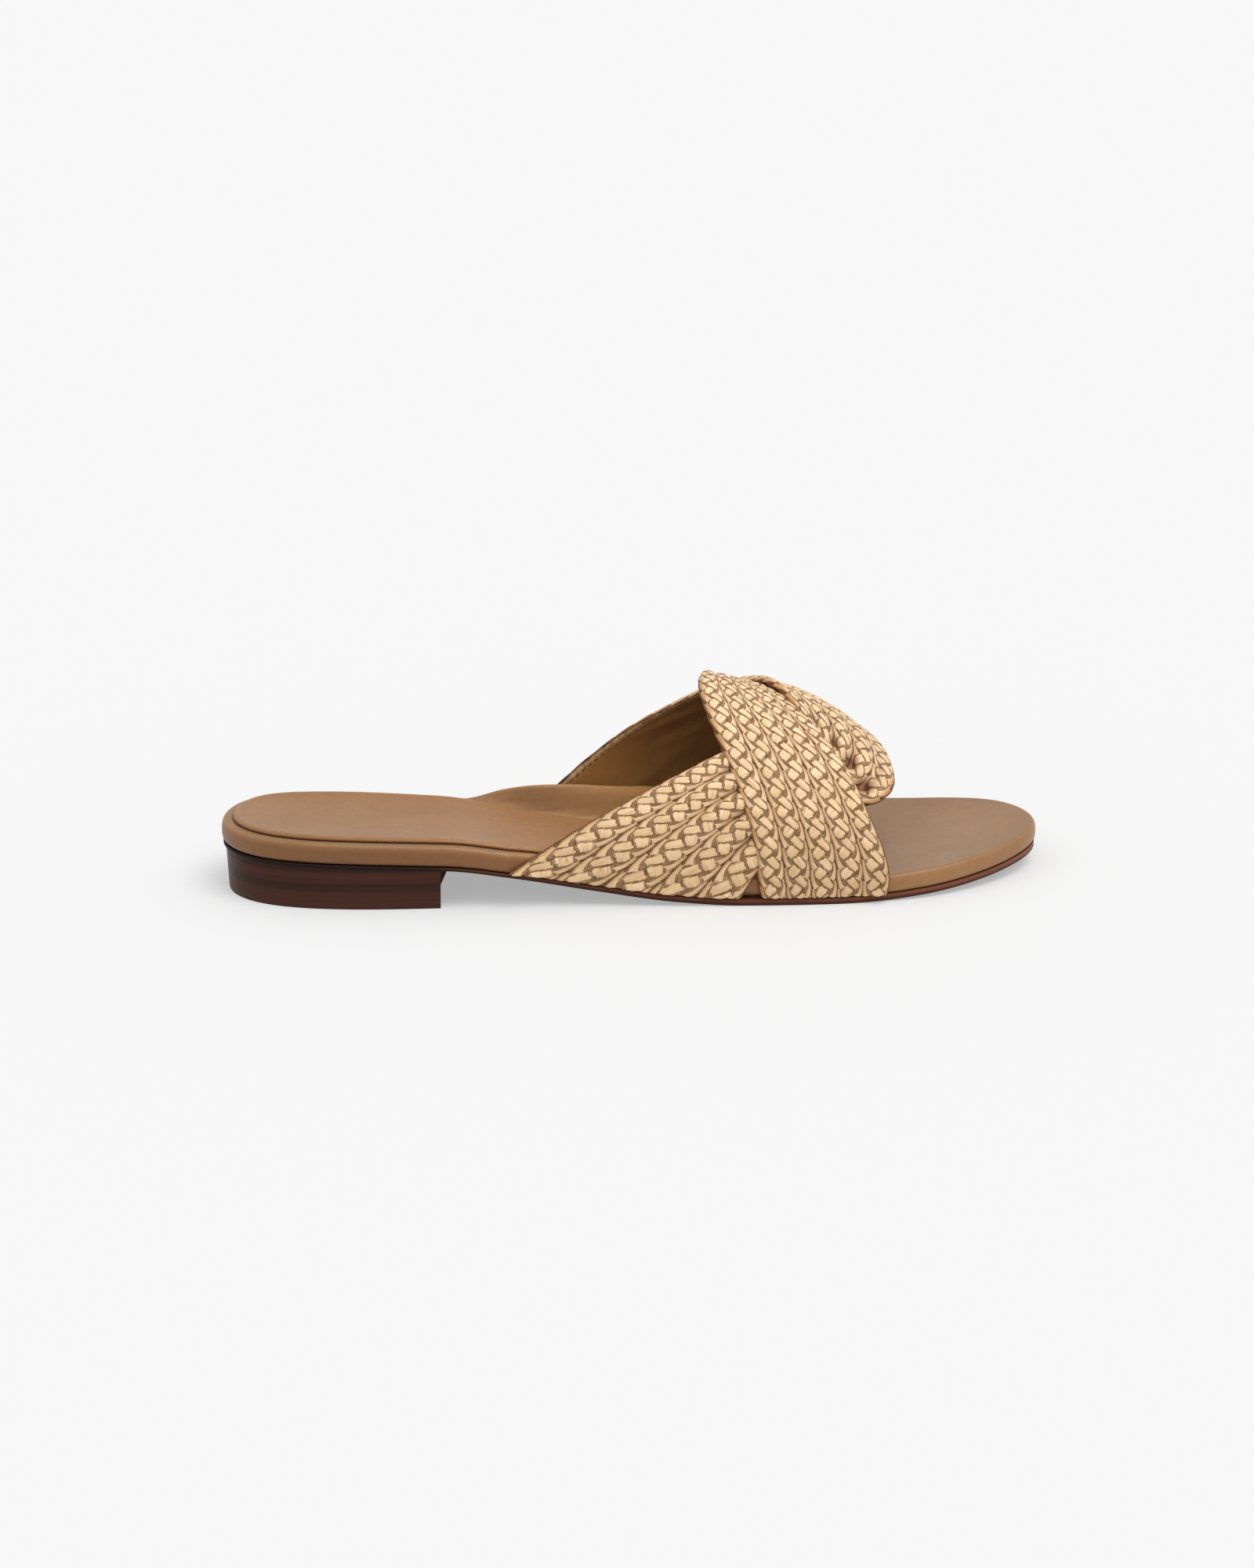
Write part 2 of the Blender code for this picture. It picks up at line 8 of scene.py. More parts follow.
import bpy
import numpy as np
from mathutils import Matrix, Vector


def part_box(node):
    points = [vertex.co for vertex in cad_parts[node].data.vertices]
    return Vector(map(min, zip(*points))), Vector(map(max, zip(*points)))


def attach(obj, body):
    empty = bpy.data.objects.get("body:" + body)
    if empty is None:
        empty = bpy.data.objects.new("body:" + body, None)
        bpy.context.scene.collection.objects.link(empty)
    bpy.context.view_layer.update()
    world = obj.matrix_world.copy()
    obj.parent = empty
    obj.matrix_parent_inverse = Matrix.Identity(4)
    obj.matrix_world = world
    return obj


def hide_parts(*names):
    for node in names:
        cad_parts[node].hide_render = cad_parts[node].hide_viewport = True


MM = 0.001

# Driving sizes of the model
LENGTH = 0.250
BALL_WIDTH = 0.082
HEEL_LIFT = 0.0134
TOE_SPRING = 0.0050
INSTEP_HEIGHT = 0.0594
ARCH_RISE = 0.0102
CUP_DEPTH = 0.0022
CUP_END = 0.036
OUTSOLE_HEEL = 0.0011
OUTSOLE_TOE = 0.0021
OUTSOLE_INSET = 0.0004
PAD_HEEL = 0.0068
PAD_TOE = 0.0058
SOCK_THICKNESS = 0.0011
SOCK_MARGIN = 0.0036
STRAP_WALL = 0.0019
STRAP_STEP = 0.0017
STRAP_RECESS = 0.0023
SOCK_END = 0.640
SOCK_END_ROUND = 0.020
BRAIDS = 5
CLEARANCE = 0.0003
SAFE = 0.001
WAIST_START = 0.20
WAIST_LENGTH = 0.45
RECESS_MARGIN = 0.006
RECESS_RAMP = 0.045
ARCH_CREST = 0.94
KNOT_SPRING = 0.25
OUTSOLE_ROUND = 0.25
HEEL_TAPER = 0.4
BREAST_AT = 0.256
BREAST_SLANT = 0.0028
BREAST_FLARE = 0.0068       # height from which the breast leans forward
HEEL_INSET = 0.0019
TOP_PIECE = 0.0046

# Small sizes that only the pieces of this scene have
HEEL_STATIONS = 60
CORNER_OUT = 0.00005        # round the two corners of the breast
CORNER_IN = 0.0009
CORNER_FLAT = 0.0015
WEAR_EDGE = 0.00025
HEEL_SEAM = 0.00002         # gap between the heel block and its wear layer
HEEL_TOP = 0.00003          # and between the heel block and the sole
# How the edges are rounded: inset and height, as shares of the edge or of the thickness
OUTSOLE_EDGE = ((1.0, 0.0), (0.3, 0.3), (0.0, 1.0))
SOCK_EDGE = ((0.15, 0.00), (0.00, 0.20), (0.00, 0.50), (0.15, 0.86), (0.45, 1.10), (0.85, 1.24),
             (1.40, 1.28), (2.00, 1.20), (2.60, 1.10), (3.30, 1.02), (4.00, 1.00))

# along, across: shares of the length and of the ball width, as in the model
OUTLINE = (
    (0.000, 0.000), (0.034, -0.215), (0.150, -0.343), (0.380, -0.379), (0.660, -0.454),
    (0.850, -0.418), (0.963, -0.212), (1.000, 0.010), (0.963, 0.300), (0.850, 0.462),
    (0.700, 0.546), (0.430, 0.272), (0.150, 0.318), (0.034, 0.250),
)
# along, rise, spring
UNDERSIDE = (
    (0.000, 1.03, 0.00), (0.120, 1.00, 0.00), (0.265, 0.90, 0.00), (0.340, 0.70, 0.00),
    (0.440, 0.37, 0.00), (0.540, 0.09, 0.00), (0.620, 0.00, 0.00), (0.740, 0.00, 0.00),
    (0.840, 0.00, 0.22), (0.920, 0.00, 0.55), (1.000, 0.00, 1.00),
)
# along, arch, cup, sock
FOOTBED = (
    (0.000, 0.00, 0.75, 0.86), (0.140, 0.00, 1.00, 0.86), (0.290, 0.00, 0.85, 0.84),
    (0.350, 0.52, 0.72, 0.76), (0.400, 0.90, 0.62, 0.70), (0.450, 1.00, 0.55, 0.65),
    (0.520, 1.00, 0.50, 0.60), (0.620, 0.45, 0.50, 0.56), (0.700, 0.00, 0.50, 0.70),
    (1.000, 0.00, 0.40, 0.86),
)
# inset, height
EDGE_ROLL = ((0.14, 0.00), (0.03, 0.14), (0.00, 0.38), (0.01, 0.66), (0.08, 0.88), (0.19, 0.98),
             (0.34, 1.00))
# along, height
INSTEP = (
    (0.300, 0.86), (0.450, 0.98), (0.580, 1.00), (0.640, 0.94), (0.700, 0.86), (0.745, 0.76),
    (0.800, 0.58), (0.850, 0.40),
)
# rear along, turn, front along, turn, layer
FRONT_STRAP = (
    (0.640, -1.00, 0.790, -1.00, 0.00), (0.633, -0.87, 0.792, -0.90, 0.60),
    (0.624, -0.71, 0.785, -0.74, 1.00), (0.609, -0.57, 0.770, -0.59, 1.00),
    (0.595, -0.44, 0.753, -0.43, 1.00), (0.584, -0.31, 0.726, -0.27, 1.00),
    (0.578, -0.17, 0.702, -0.17, 0.95), (0.580, -0.04, 0.686, -0.07, 0.85),
    (0.588, 0.10, 0.669, 0.03, 0.60), (0.602, 0.26, 0.662, 0.14, 0.35),
    (0.624, 0.44, 0.674, 0.27, 0.15), (0.650, 0.62, 0.724, 0.44, 0.00),
    (0.668, 0.82, 0.790, 0.74, 0.00), (0.674, 1.00, 0.824, 1.00, 0.00),
)
REAR_STRAP = (
    (0.336, -1.00, 0.616, -1.00, 0.00), (0.416, -0.80, 0.627, -0.94, 0.00),
    (0.503, -0.63, 0.650, -0.84, 0.00), (0.600, -0.46, 0.690, -0.72, 0.00),
    (0.660, -0.33, 0.733, -0.62, 0.00), (0.696, -0.215, 0.770, -0.53, 0.30),
    (0.694, -0.145, 0.803, -0.36, 1.10), (0.680, -0.07, 0.813, -0.15, 1.60),
    (0.664, 0.02, 0.808, 0.05, 1.60), (0.652, 0.13, 0.786, 0.24, 1.40),
    (0.628, 0.28, 0.752, 0.42, 1.12), (0.585, 0.42, 0.712, 0.60, 0.95),
    (0.515, 0.54, 0.674, 0.78, 0.70), (0.430, 0.75, 0.655, 0.92, 0.30),
    (0.356, 1.00, 0.648, 1.00, 0.00),
)
STRAP_STEPS = 24
LATERAL, MEDIAL = -1, 1

# The plait: five strands cross in each braid, one over, one under
STRANDS = 5
PLAIT_WIDTH = 0.0076        # braid width that the sizes below belong to
PLAIT_PERIOD = 0.0295       # along the braid, until a strand is back at the same edge
STRAND_WIDTH = 0.0039       # in the middle of a braid
STRAND_NARROW = 0.42        # how much of that a strand loses where it turns at an edge
STRAND_THICK = 0.00055
STRAND_RISE = 0.00048       # from a strand that runs under to one that runs over
SQUARENESS = 0.15           # how long a strand stays at the edge before it crosses
EDGE_DROP = 0.00046         # strands drop towards the groove between two braids
HEM_DROP = 0.00120          # and further down round the strap's own two edges
HEM_WIDTH = 0.00150
GROOVE_FROM = 0.74          # from here to a braid's edge painted shade darkens the straw
CREASE_DEPTH = 0.0018       # how deep a pinch is where the painted crease shade is darkest
PERIOD_GATHER = 0.6         # how far the plait shortens where the strap is gathered
EDGE_REACH = 0.00040        # how far a strand passes the edge of its braid
EDGE_DROP_FROM = 1.3        # no further drop past this share of the braid's half width
STRAND_SINK = 0.00040       # how deep the lowest strands lie in the strap's wall
STRAND_WOBBLE = 0.00006
PALE_NARROW = 0.80          # how much narrower the pale straw gets where a strand turns
PALE_SHIFT = 0.58           # and how far it moves towards the edge of the braid there

# The bands under the plait. Edges are shares of the strap's width
STRAP_WIDTH = 0.037
BACKING_EDGE = 0.030
BACKING_BOTTOM = 0.00055
BACKING_TOP = STRAP_WALL - 0.00036
BACKING_ROWS = 150
LINING_EDGE = 0.045
LINING_THICK = 0.0007
LINING_ROWS = 260
LINING_SEAM = 0.0026        # from a strap's edge to the stitches of its lining
SOCK_SEAM = -0.0001         # from the sock's edge to its stitches

# Stitches: length, gap and radius of the thread
LINING_STITCH = (0.0019, 0.0006, 0.00017)
SOCK_STITCH = (0.00085, 0.00045, 0.00014)

# Where a strap's surface is lifted or pinched: row and across of the middle, reach in rows
# and as a share of the width, height in millimetres
REAR_PINCHES = (
    (7.4, 0.00, 1.25, 0.13, 1.7), (5.26, 0.84, 0.34, 0.08, -2.3), (5.48, 0.62, 0.34, 0.08, -2.2),
    (5.62, 0.41, 0.32, 0.07, -1.9), (5.95, 0.21, 0.34, 0.06, -1.4), (6.60, 0.73, 1.10, 0.08, 0.8),
    (6.80, 0.51, 1.10, 0.07, 0.8), (7.00, 0.30, 1.20, 0.07, 0.7), (6.60, 0.62, 1.00, 0.05, -0.9),
    (6.90, 0.40, 1.00, 0.05, -0.9), (6.40, 0.86, 0.90, 0.05, -0.9),
    (3.00, 0.20, 0.50, 0.035, -1.0), (2.78, 0.40, 0.50, 0.035, -1.1),
    (2.48, 0.60, 0.50, 0.035, -1.1), (2.15, 0.80, 0.50, 0.035, -1.0),
    (2.90, 0.30, 0.60, 0.060, 0.5), (2.65, 0.50, 0.60, 0.060, 0.5), (2.35, 0.70, 0.60, 0.060, 0.5),
)
FRONT_PINCHES = (
    (9.6, 1.00, 1.30, 0.14, -0.7), (9.4, 0.10, 1.00, 0.20, -0.6), (8.1, 0.40, 1.30, 0.030, -0.8),
    (8.0, 0.20, 1.20, 0.030, -0.6), (7.6, 0.60, 1.30, 0.030, -0.5), (5.0, 0.80, 1.20, 0.030, -0.4),
    (11.7, 0.00, 0.90, 0.12, 1.4),
)


def share(x):
    return np.asarray(x) / LENGTH + 0.5


def place(along):
    return (np.asarray(along) - 0.5) * LENGTH


def unit(value):
    return np.clip(value, 0.0, 1.0)


def ease(value):
    """A smooth step from 0 to 1."""
    t = unit(value)
    return t * t * (3 - 2 * t)


def hermite(a, b, leave, arrive, t):
    """From a to b, with the slopes leave and arrive."""
    return (a * (1 + 2 * t) * (1 - t) ** 2 + leave * t * (1 - t) ** 2
            + b * (3 - 2 * t) * t ** 2 + arrive * t ** 2 * (t - 1))


def run_along(points):
    """Length of a line from its start to each of its points."""
    return np.r_[0.0, np.cumsum(np.linalg.norm(np.diff(points, axis=0), axis=1))]


def smooth_table(rows, column, at):
    """A column of a table at the places `at`, on a curve that adds no bumps between the rows."""
    x = np.array([row[0] for row in rows], float)
    y = np.array([row[column] for row in rows], float)
    step = np.diff(x)
    slope = np.diff(y) / step
    tangent = np.zeros_like(y)
    same = slope[:-1] * slope[1:] > 0
    mean = 2.0 * slope[:-1] * slope[1:] / np.where(same, slope[:-1] + slope[1:], 1.0)
    tangent[1:-1] = np.where(same, mean, 0.0)
    tangent[0], tangent[-1] = slope[0], slope[-1]
    at = np.clip(at, x[0], x[-1])
    i = np.clip(np.searchsorted(x, at) - 1, 0, len(step) - 1)
    t = (at - x[i]) / step[i]
    return hermite(y[i], y[i + 1], tangent[i] * step[i], tangent[i + 1] * step[i], t)


def through_points(points, closed, steps):
    """A smooth curve through the points, with no kinks at them, as rows of numbers."""
    points = np.asarray(points, float)
    if closed:
        points = np.vstack([points, points[:1]])
    count = len(points)
    gap = np.sqrt(np.linalg.norm(np.diff(points, axis=0), axis=1))[:, None]
    slope = np.diff(points, axis=0) / gap
    system = np.zeros((count, count))
    target = np.zeros_like(points)
    for i in range(1, count - 1):
        before, after = 1.0 / gap[i - 1, 0], 1.0 / gap[i, 0]
        system[i, i - 1:i + 2] = before, 2.0 * (before + after), after
        target[i] = 3.0 * (slope[i - 1] * before + slope[i] * after)
    system[0, :2] = 2.0, 1.0
    target[0] = 3.0 * slope[0]
    system[-1, -2:] = 1.0, 2.0
    target[-1] = 3.0 * slope[-1]
    if closed:
        before, after = 1.0 / gap[-1, 0], 1.0 / gap[0, 0]
        system[0] = 0.0
        system[0, [-2, 0, 1]] = before, 2.0 * (before + after), after
        target[0] = 3.0 * (slope[-1] * before + slope[0] * after)
        system[-1] = 0.0
        system[-1, [0, -1]] = 1.0, -1.0
        target[-1] = 0.0
    tangent = np.linalg.solve(system, target)
    t = np.linspace(0.0, 1.0, steps, endpoint=False)[:, None]
    spans = [hermite(points[i], points[i + 1], tangent[i] * gap[i], tangent[i + 1] * gap[i], t)
             for i in range(count - 1)]
    return np.vstack(spans + [points[-1:]])


def outline_sides():
    curve = through_points([(place(a), w * BALL_WIDTH) for a, w in OUTLINE], True, 60)
    curve[:, 0] = np.clip(curve[:, 0], place(0.0), place(1.0))
    tip = int(np.argmax(curve[:, 0]))
    return {LATERAL: curve[:tip + 1], MEDIAL: curve[tip:][::-1]}


SIDES = outline_sides()


def half_width(x, side):
    line = SIDES[side]
    order = np.argsort(line[:, 0], kind="stable")
    return side * np.interp(x, line[order, 0], line[order, 1])


def underside(x):
    return (HEEL_LIFT * smooth_table(UNDERSIDE, 1, share(x))
            + TOE_SPRING * smooth_table(UNDERSIDE, 2, share(x)))


def waist_blend(x, at_heel, at_toe):
    return at_heel + (at_toe - at_heel) * ease((share(x) - WAIST_START) / WAIST_LENGTH)


def outsole_top(x):
    return underside(x) + waist_blend(x, OUTSOLE_HEEL, OUTSOLE_TOE)


def pad_height(x):
    return waist_blend(x, PAD_HEEL, PAD_TOE)


def wrap_inset(x, side):
    row = 0 if side == LATERAL else -1
    rear, front = REAR_STRAP[row][0] - RECESS_MARGIN, FRONT_STRAP[row][2] + RECESS_MARGIN
    return STRAP_RECESS * ease(np.minimum(share(x) - rear, front - share(x)) / RECESS_RAMP)


def wrap_side(x, side):
    return half_width(x, side) - wrap_inset(x, side)


def arch_start(x):
    return wrap_side(x, MEDIAL) * smooth_table(FOOTBED, 3, share(x))


def arch(x, y):
    start = arch_start(x)
    reach = np.maximum(wrap_side(x, MEDIAL) * ARCH_CREST - start, SAFE)
    return ARCH_RISE * smooth_table(FOOTBED, 1, share(x)) * ease((y - start) / reach)


def footbed_top(x, y):
    edge = np.where(y < 0, wrap_side(x, LATERAL), wrap_side(x, MEDIAL))
    across = unit(np.abs(y) / np.maximum(edge, SAFE))
    end = unit(np.minimum(x - place(0.0), place(1.0) - x) / CUP_END)
    hollow = (1.0 - across ** 2) * (1.0 - (1.0 - end) ** 2)
    cup = CUP_DEPTH * smooth_table(FOOTBED, 2, share(x)) * hollow
    return outsole_top(x) + pad_height(x) - cup + arch(x, y)


def instep(x):
    return INSTEP_HEIGHT * smooth_table(INSTEP, 1, share(x))


def knot_form(along, turn, lift):
    """A point on the inside of the knot, raised by lift."""
    x = place(along)
    side = np.where(turn < 0, LATERAL, MEDIAL)
    wide = np.where(turn < 0, wrap_side(x, LATERAL), wrap_side(x, MEDIAL)) + CLEARANCE
    foot = outsole_top(x) + CLEARANCE
    wing = np.where(turn < 0, 0.0, ARCH_RISE * smooth_table(FOOTBED, 1, share(x)))
    spring = outsole_top(x) + pad_height(x) * (1.0 - KNOT_SPRING) + wing
    tall = instep(x) - spring
    straight = (spring - foot) / tall
    angle = np.abs(turn) * (0.5 * math.pi + straight)
    bent = np.minimum(angle, 0.5 * math.pi)
    y = side * (wide + lift) * np.sin(bent)
    z = spring + (tall + lift) * np.cos(bent) - tall * (angle - bent)
    return np.stack([x, y, z], -1)


class Strap:
    """A band over the form. across runs 0 to 1 from its rear edge to its front edge."""

    def __init__(self, name, rows, pinches=()):
        self.name = name
        self.pinches = pinches
        self.fine = through_points(rows, False, STRAP_STEPS)
        self.index = np.arange(len(self.fine), dtype=float)

    def row(self, where):
        return np.stack([np.interp(where, self.index, self.fine[:, k]) for k in range(5)], -1)

    def point(self, where, across, lift):
        row = self.row(where)
        along = row[..., 0] + (row[..., 2] - row[..., 0]) * across
        turn = row[..., 1] + (row[..., 3] - row[..., 1]) * across
        lift = row[..., 4] * STRAP_STEP + lift + self.pinch(where, across)
        return knot_form(along, np.clip(turn, -1.0, 1.0), lift)

    def pinch(self, where, across):
        """How far the surface stands out where the strap is puffed up or drawn in."""
        total = 0.0
        for at, middle, long, wide, high in self.pinches:
            total = total + high * MM * np.exp(-((where / STRAP_STEPS - at) / long) ** 2
                                               - ((across - middle) / wide) ** 2)
        return total

    def grid(self, rows, columns):
        """where and across of an even net over the strap."""
        run = run_along(self.point(self.index, 0.5, 0.0))
        where = np.interp(np.linspace(0.0, run[-1], rows), run, self.index)
        return np.meshgrid(where, columns, indexing="ij")


def mesh_object(name, points, faces, finish, sharp=False):
    mesh_data = bpy.data.meshes.new(name)
    points = np.asarray(points, float).reshape(-1, 3) + SHIFT
    mesh_data.from_pydata(points.tolist(), [], faces)
    mesh_data.update()
    mesh_data.shade_smooth()
    if sharp:
        mesh_data.set_sharp_from_angle(angle=math.radians(40.0))
    mesh_data.materials.append(finish)
    thing = bpy.data.objects.new(name, mesh_data)
    bpy.context.scene.collection.objects.link(thing)
    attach(thing, "root")
    return thing


def net_faces(rows, columns, around, first=0):
    """Quads of a net. around: the last column joins the first one."""
    i, j = np.meshgrid(np.arange(rows - 1), np.arange(columns if around else columns - 1),
                       indexing="ij")
    k = (j + 1) % columns
    quads = np.stack([i * columns + j, i * columns + k, (i + 1) * columns + k,
                      (i + 1) * columns + j], -1)
    return (quads.reshape(-1, 4) + first).tolist()


def tube_faces(rows, columns, first=0):
    """Quads round a closed tube, and a cap at each end."""
    last = first + (rows - 1) * columns
    return (net_faces(rows, columns, True, first)
            + [list(range(first + columns - 1, first - 1, -1)), list(range(last, last + columns))])


def point_attribute(thing, name, values):
    layer = thing.data.attributes.new(name, "FLOAT_VECTOR", "POINT")
    layer.data.foreach_set("vector", np.asarray(values, np.float32).ravel())


# The plaited strands

def plait_wave(turn):
    """Place of a strand between the two edges of its braid, -1 to 1, and how fast it crosses."""
    peak = 1.0 - SQUARENESS / 3.0
    at = -(np.cos(turn) - SQUARENESS / 3.0 * np.cos(3.0 * turn)) / peak
    rate = (np.sin(turn) - SQUARENESS * np.sin(3.0 * turn)) / peak
    return at, rate


def plait_height(turn):
    """-1 where a strand runs under the others and 1 where it runs over them."""
    step = (turn / math.pi * STRANDS) % STRANDS
    last = STRANDS - 1.0
    return np.where(step < 1.0, np.sin(0.5 * math.pi * step),
                    np.where(step < last, -np.cos(math.pi * step),
                             -np.cos(0.5 * math.pi * (step - last))))


# Round a strand. side: share of the half width; up: share of the thickness. The pale straw is
# in the middle, and two twisted threads run along each of its edges.
STRAND_SECTION = ((-1.00, 0.20), (-0.92, 0.72), (-0.82, 0.58), (-0.72, 0.76), (-0.62, 0.60),
                  (-0.30, 0.95), (0.30, 0.95), (0.62, 0.60), (0.72, 0.76), (0.82, 0.58),
                  (0.92, 0.72), (1.00, 0.20), (0.55, 0.00), (-0.55, 0.00))
STRAND_ROWS = 64            # along one period of the plait
THREADS_FROM = 0.65         # where the threads start beside the pale straw, and their spacing
THREAD_GAP = 0.175


def braid_mesh(strap, braid, finish, chance):
    """Five strands plaited over and under each other along one braid of a strap."""
    points, faces, coordinates, shades = [], [], [], []
    side, up = np.array(STRAND_SECTION).T
    columns = len(side)
    low, middle, high = [strap.point(strap.index, (braid + part) / BRAIDS, STRAP_WALL)
                         for part in (0.0, 0.5, 1.0)]
    run = run_along(middle)
    width = np.linalg.norm(high - low, axis=1)
    pace = 2.0 * math.pi / (PLAIT_PERIOD * (width / PLAIT_WIDTH) ** PERIOD_GATHER)
    turns = np.r_[0.0, np.cumsum(0.5 * (pace[1:] + pace[:-1]) * np.diff(run))]
    start = chance.uniform(0.0, 2.0 * math.pi)
    count = int(turns[-1] / (2.0 * math.pi) * STRAND_ROWS) + 2
    turn = np.linspace(0.0, turns[-1], count)
    s = np.interp(turn, turns, run)
    wide, speed = np.interp(s, run, width), np.interp(s, run, pace)
    for strand in range(STRANDS):
        phase = start - turn + 2.0 * math.pi * strand / STRANDS
        at, rate = plait_wave(phase)
        own_width = (STRAND_WIDTH * wide / PLAIT_WIDTH * chance.uniform(0.94, 1.06)
                     * (1.0 - STRAND_NARROW * np.abs(at) ** 3))
        reach = EDGE_REACH + 0.5 * (wide - STRAND_WIDTH * (1.0 - STRAND_NARROW)
                                    * wide / PLAIT_WIDTH)
        wobble = STRAND_WOBBLE * np.sin(phase * 1.7 + chance.uniform(0.0, 6.0))
        heading = -np.arctan(reach * rate * speed)
        half = 0.5 * own_width[:, None] * side
        run_at = np.clip(s[:, None] - half * np.sin(heading)[:, None], 0.0, run[-1])
        off = (reach * at + wobble)[:, None] + half * np.cos(heading)[:, None]
        wide_at = np.interp(run_at, run, width)
        local = off / wide_at
        across = (braid + 0.5 + local) / BRAIDS
        from_hem = np.minimum(across, 1.0 - across) * BRAIDS * wide_at
        # Nearness to the strap's edge: the strands drop there, and get painted shade where they
        # turn under
        hem = unit(1.0 - from_hem / HEM_WIDTH)
        off_middle = np.abs(2.0 * local)
        drop = EDGE_DROP * np.clip(off_middle, 0.0, EDGE_DROP_FROM) ** 4 + HEM_DROP * hem ** 2
        level = plait_height(phase)[:, None]
        lift = (STRAP_WALL + STRAND_RISE * 0.5 * (level + 1.0) - STRAND_SINK
                + STRAND_THICK * up - drop)
        where = np.interp(run_at, run, strap.index)
        points.append(strap.point(where, across, lift).reshape(-1, 3))
        tone = chance.uniform(0.0, 1.0)
        shape = run_at.shape
        # Painted shade in the pinched creases, darkest where the pinch is deepest
        drawn = unit(-strap.pinch(where, across) / CREASE_DEPTH)
        # Painted shade in the grooves between braids
        groove = unit((off_middle - GROOVE_FROM) / (1.0 - GROOVE_FROM))
        shades.append(np.stack([drawn, hem, groove], -1).reshape(-1, 3))
        folded = np.abs(at[:, None]) ** 3
        coordinates.append(np.stack([side * (1.0 + PALE_NARROW * folded)
                                     - np.sign(at[:, None]) * PALE_SHIFT * folded,
                                     np.broadcast_to(s[:, None], shape) / MM,
                                     np.full(shape, tone)], -1).reshape(-1, 3))
        faces += tube_faces(count, columns, strand * count * columns)
    thing = mesh_object(f"{strap.name}_braid_{braid + 1}", np.vstack(points), faces, finish)
    point_attribute(thing, "strand", np.vstack(coordinates))
    point_attribute(thing, "shade", np.vstack(shades))
    return thing


def band_mesh(name, strap, section, rows, finish, bend=None):
    """A closed band under the plait. section: across and lift of the points round it."""
    where, across = strap.grid(rows, np.array([a for a, _ in section]))
    lift = np.broadcast_to(np.array([h for _, h in section]), where.shape).copy()
    if bend is not None:
        lift += bend(where / strap.index[-1], across)
    points = strap.point(where, across, lift)
    thing = mesh_object(name, points, tube_faces(rows, len(section)), finish)
    width = np.linalg.norm(strap.point(where, 1.0, lift) - strap.point(where, 0.0, lift), axis=-1)
    run = run_along(strap.point(where[:, 0], 0.5, 0.0))
    point_attribute(thing, "band", np.stack(
        [across * width / MM, (1.0 - across) * width / MM,
         np.broadcast_to(run[:, None], across.shape) / MM], -1).reshape(-1, 3))
    return thing


def backing_section():
    """The cloth that the braids are sewn to, with round edges."""
    near, far = BACKING_EDGE, 1.0 - BACKING_EDGE
    middle = 0.5 * (BACKING_BOTTOM + BACKING_TOP)
    return ([(a, BACKING_TOP) for a in np.linspace(near, far, 26)]
            + [(1.0 - 0.3 * near, middle)]
            + [(a, BACKING_BOTTOM) for a in np.linspace(far, near, 26)] + [(0.3 * near, middle)])


def lining_section():
    """The leather inside, set in from the strap's edges."""
    near, far = LINING_EDGE, 1.0 - LINING_EDGE
    middle = 3.0 / 7.0 * LINING_THICK
    return ([(a, LINING_THICK) for a in np.linspace(far, near, 30)] + [(0.9 * near, middle)]
            + [(a, 0.0) for a in np.linspace(near, far, 60)] + [(1.0 - 0.9 * near, middle)])


# Soft folds of the lining. at and across: middle of the fold, as shares of the strap's length
# and width; turn: degrees from straight across; length, width and depth in millimetres
REAR_FOLDS = (
    (0.80, 0.22, 72, 26, 3.4, -0.675), (0.80, 0.38, 70, 30, 3.4, 0.600),
    (0.79, 0.52, 68, 30, 3.2, -0.675), (0.78, 0.66, 66, 26, 3.2, 0.600),
    (0.76, 0.80, 64, 24, 3.0, -0.675), (0.88, 0.45, 75, 22, 4.0, -0.450),
    (0.89, 0.68, 72, 20, 4.0, 0.450),
)
FRONT_FOLDS = (
    (0.30, 0.50, 12, 26, 3.4, -0.525), (0.38, 0.45, -8, 24, 3.0, 0.525),
    (0.80, 0.30, 66, 20, 3.2, -0.600), (0.80, 0.55, 70, 20, 2.8, 0.525),
)


def folds(strap, table):
    """How much the folds raise the lining, as a function of the place on the strap."""
    length = run_along(strap.point(strap.index, 0.5, 0.0))[-1]

    def bend(at, across):
        total = np.zeros_like(at)
        for fold_at, fold_across, turn, long, wide, deep in table:
            dx, dy = (at - fold_at) * length, (across - fold_across) * STRAP_WIDTH
            c, s = math.cos(math.radians(turn)), math.sin(math.radians(turn))
            off, run = dx * c + dy * s, -dx * s + dy * c
            total += deep * MM * np.exp(-(off / (0.5 * wide * MM)) ** 2
                                        - (run / (0.5 * long * MM)) ** 4)
        return total
    return bend


# Sole pieces, as rings one above the other

def stations(first, last, count):
    return first + (last - first) * (0.5 - 0.5 * np.cos(np.linspace(0.0, math.pi, count + 1)))


def inset_ring(line, inset, height):
    """Lateral and medial points of an outline moved inwards, with a height at each. inset: one
    for both sides, or a pair."""
    x, lateral, medial = line
    loop = np.vstack([np.c_[x, lateral], np.c_[x, medial][-2:0:-1]])
    tangent = np.roll(loop, -1, 0) - np.roll(loop, 1, 0)
    inward = np.c_[-tangent[:, 1], tangent[:, 0]]
    inward /= np.linalg.norm(inward, axis=1)[:, None]
    outer, inner = [np.broadcast_to(part, len(x))
                    for part in (inset if isinstance(inset, tuple) else (inset, inset))]
    moved = loop + inward * np.r_[outer, inner[-2:0:-1]][:, None]
    count = len(x)
    medial_xy = np.vstack([moved[:1], moved[count:][::-1], moved[count - 1:count]])
    return [np.c_[xy, height(xy[:, 0], xy[:, 1])] for xy in (moved[:count], medial_xy)]


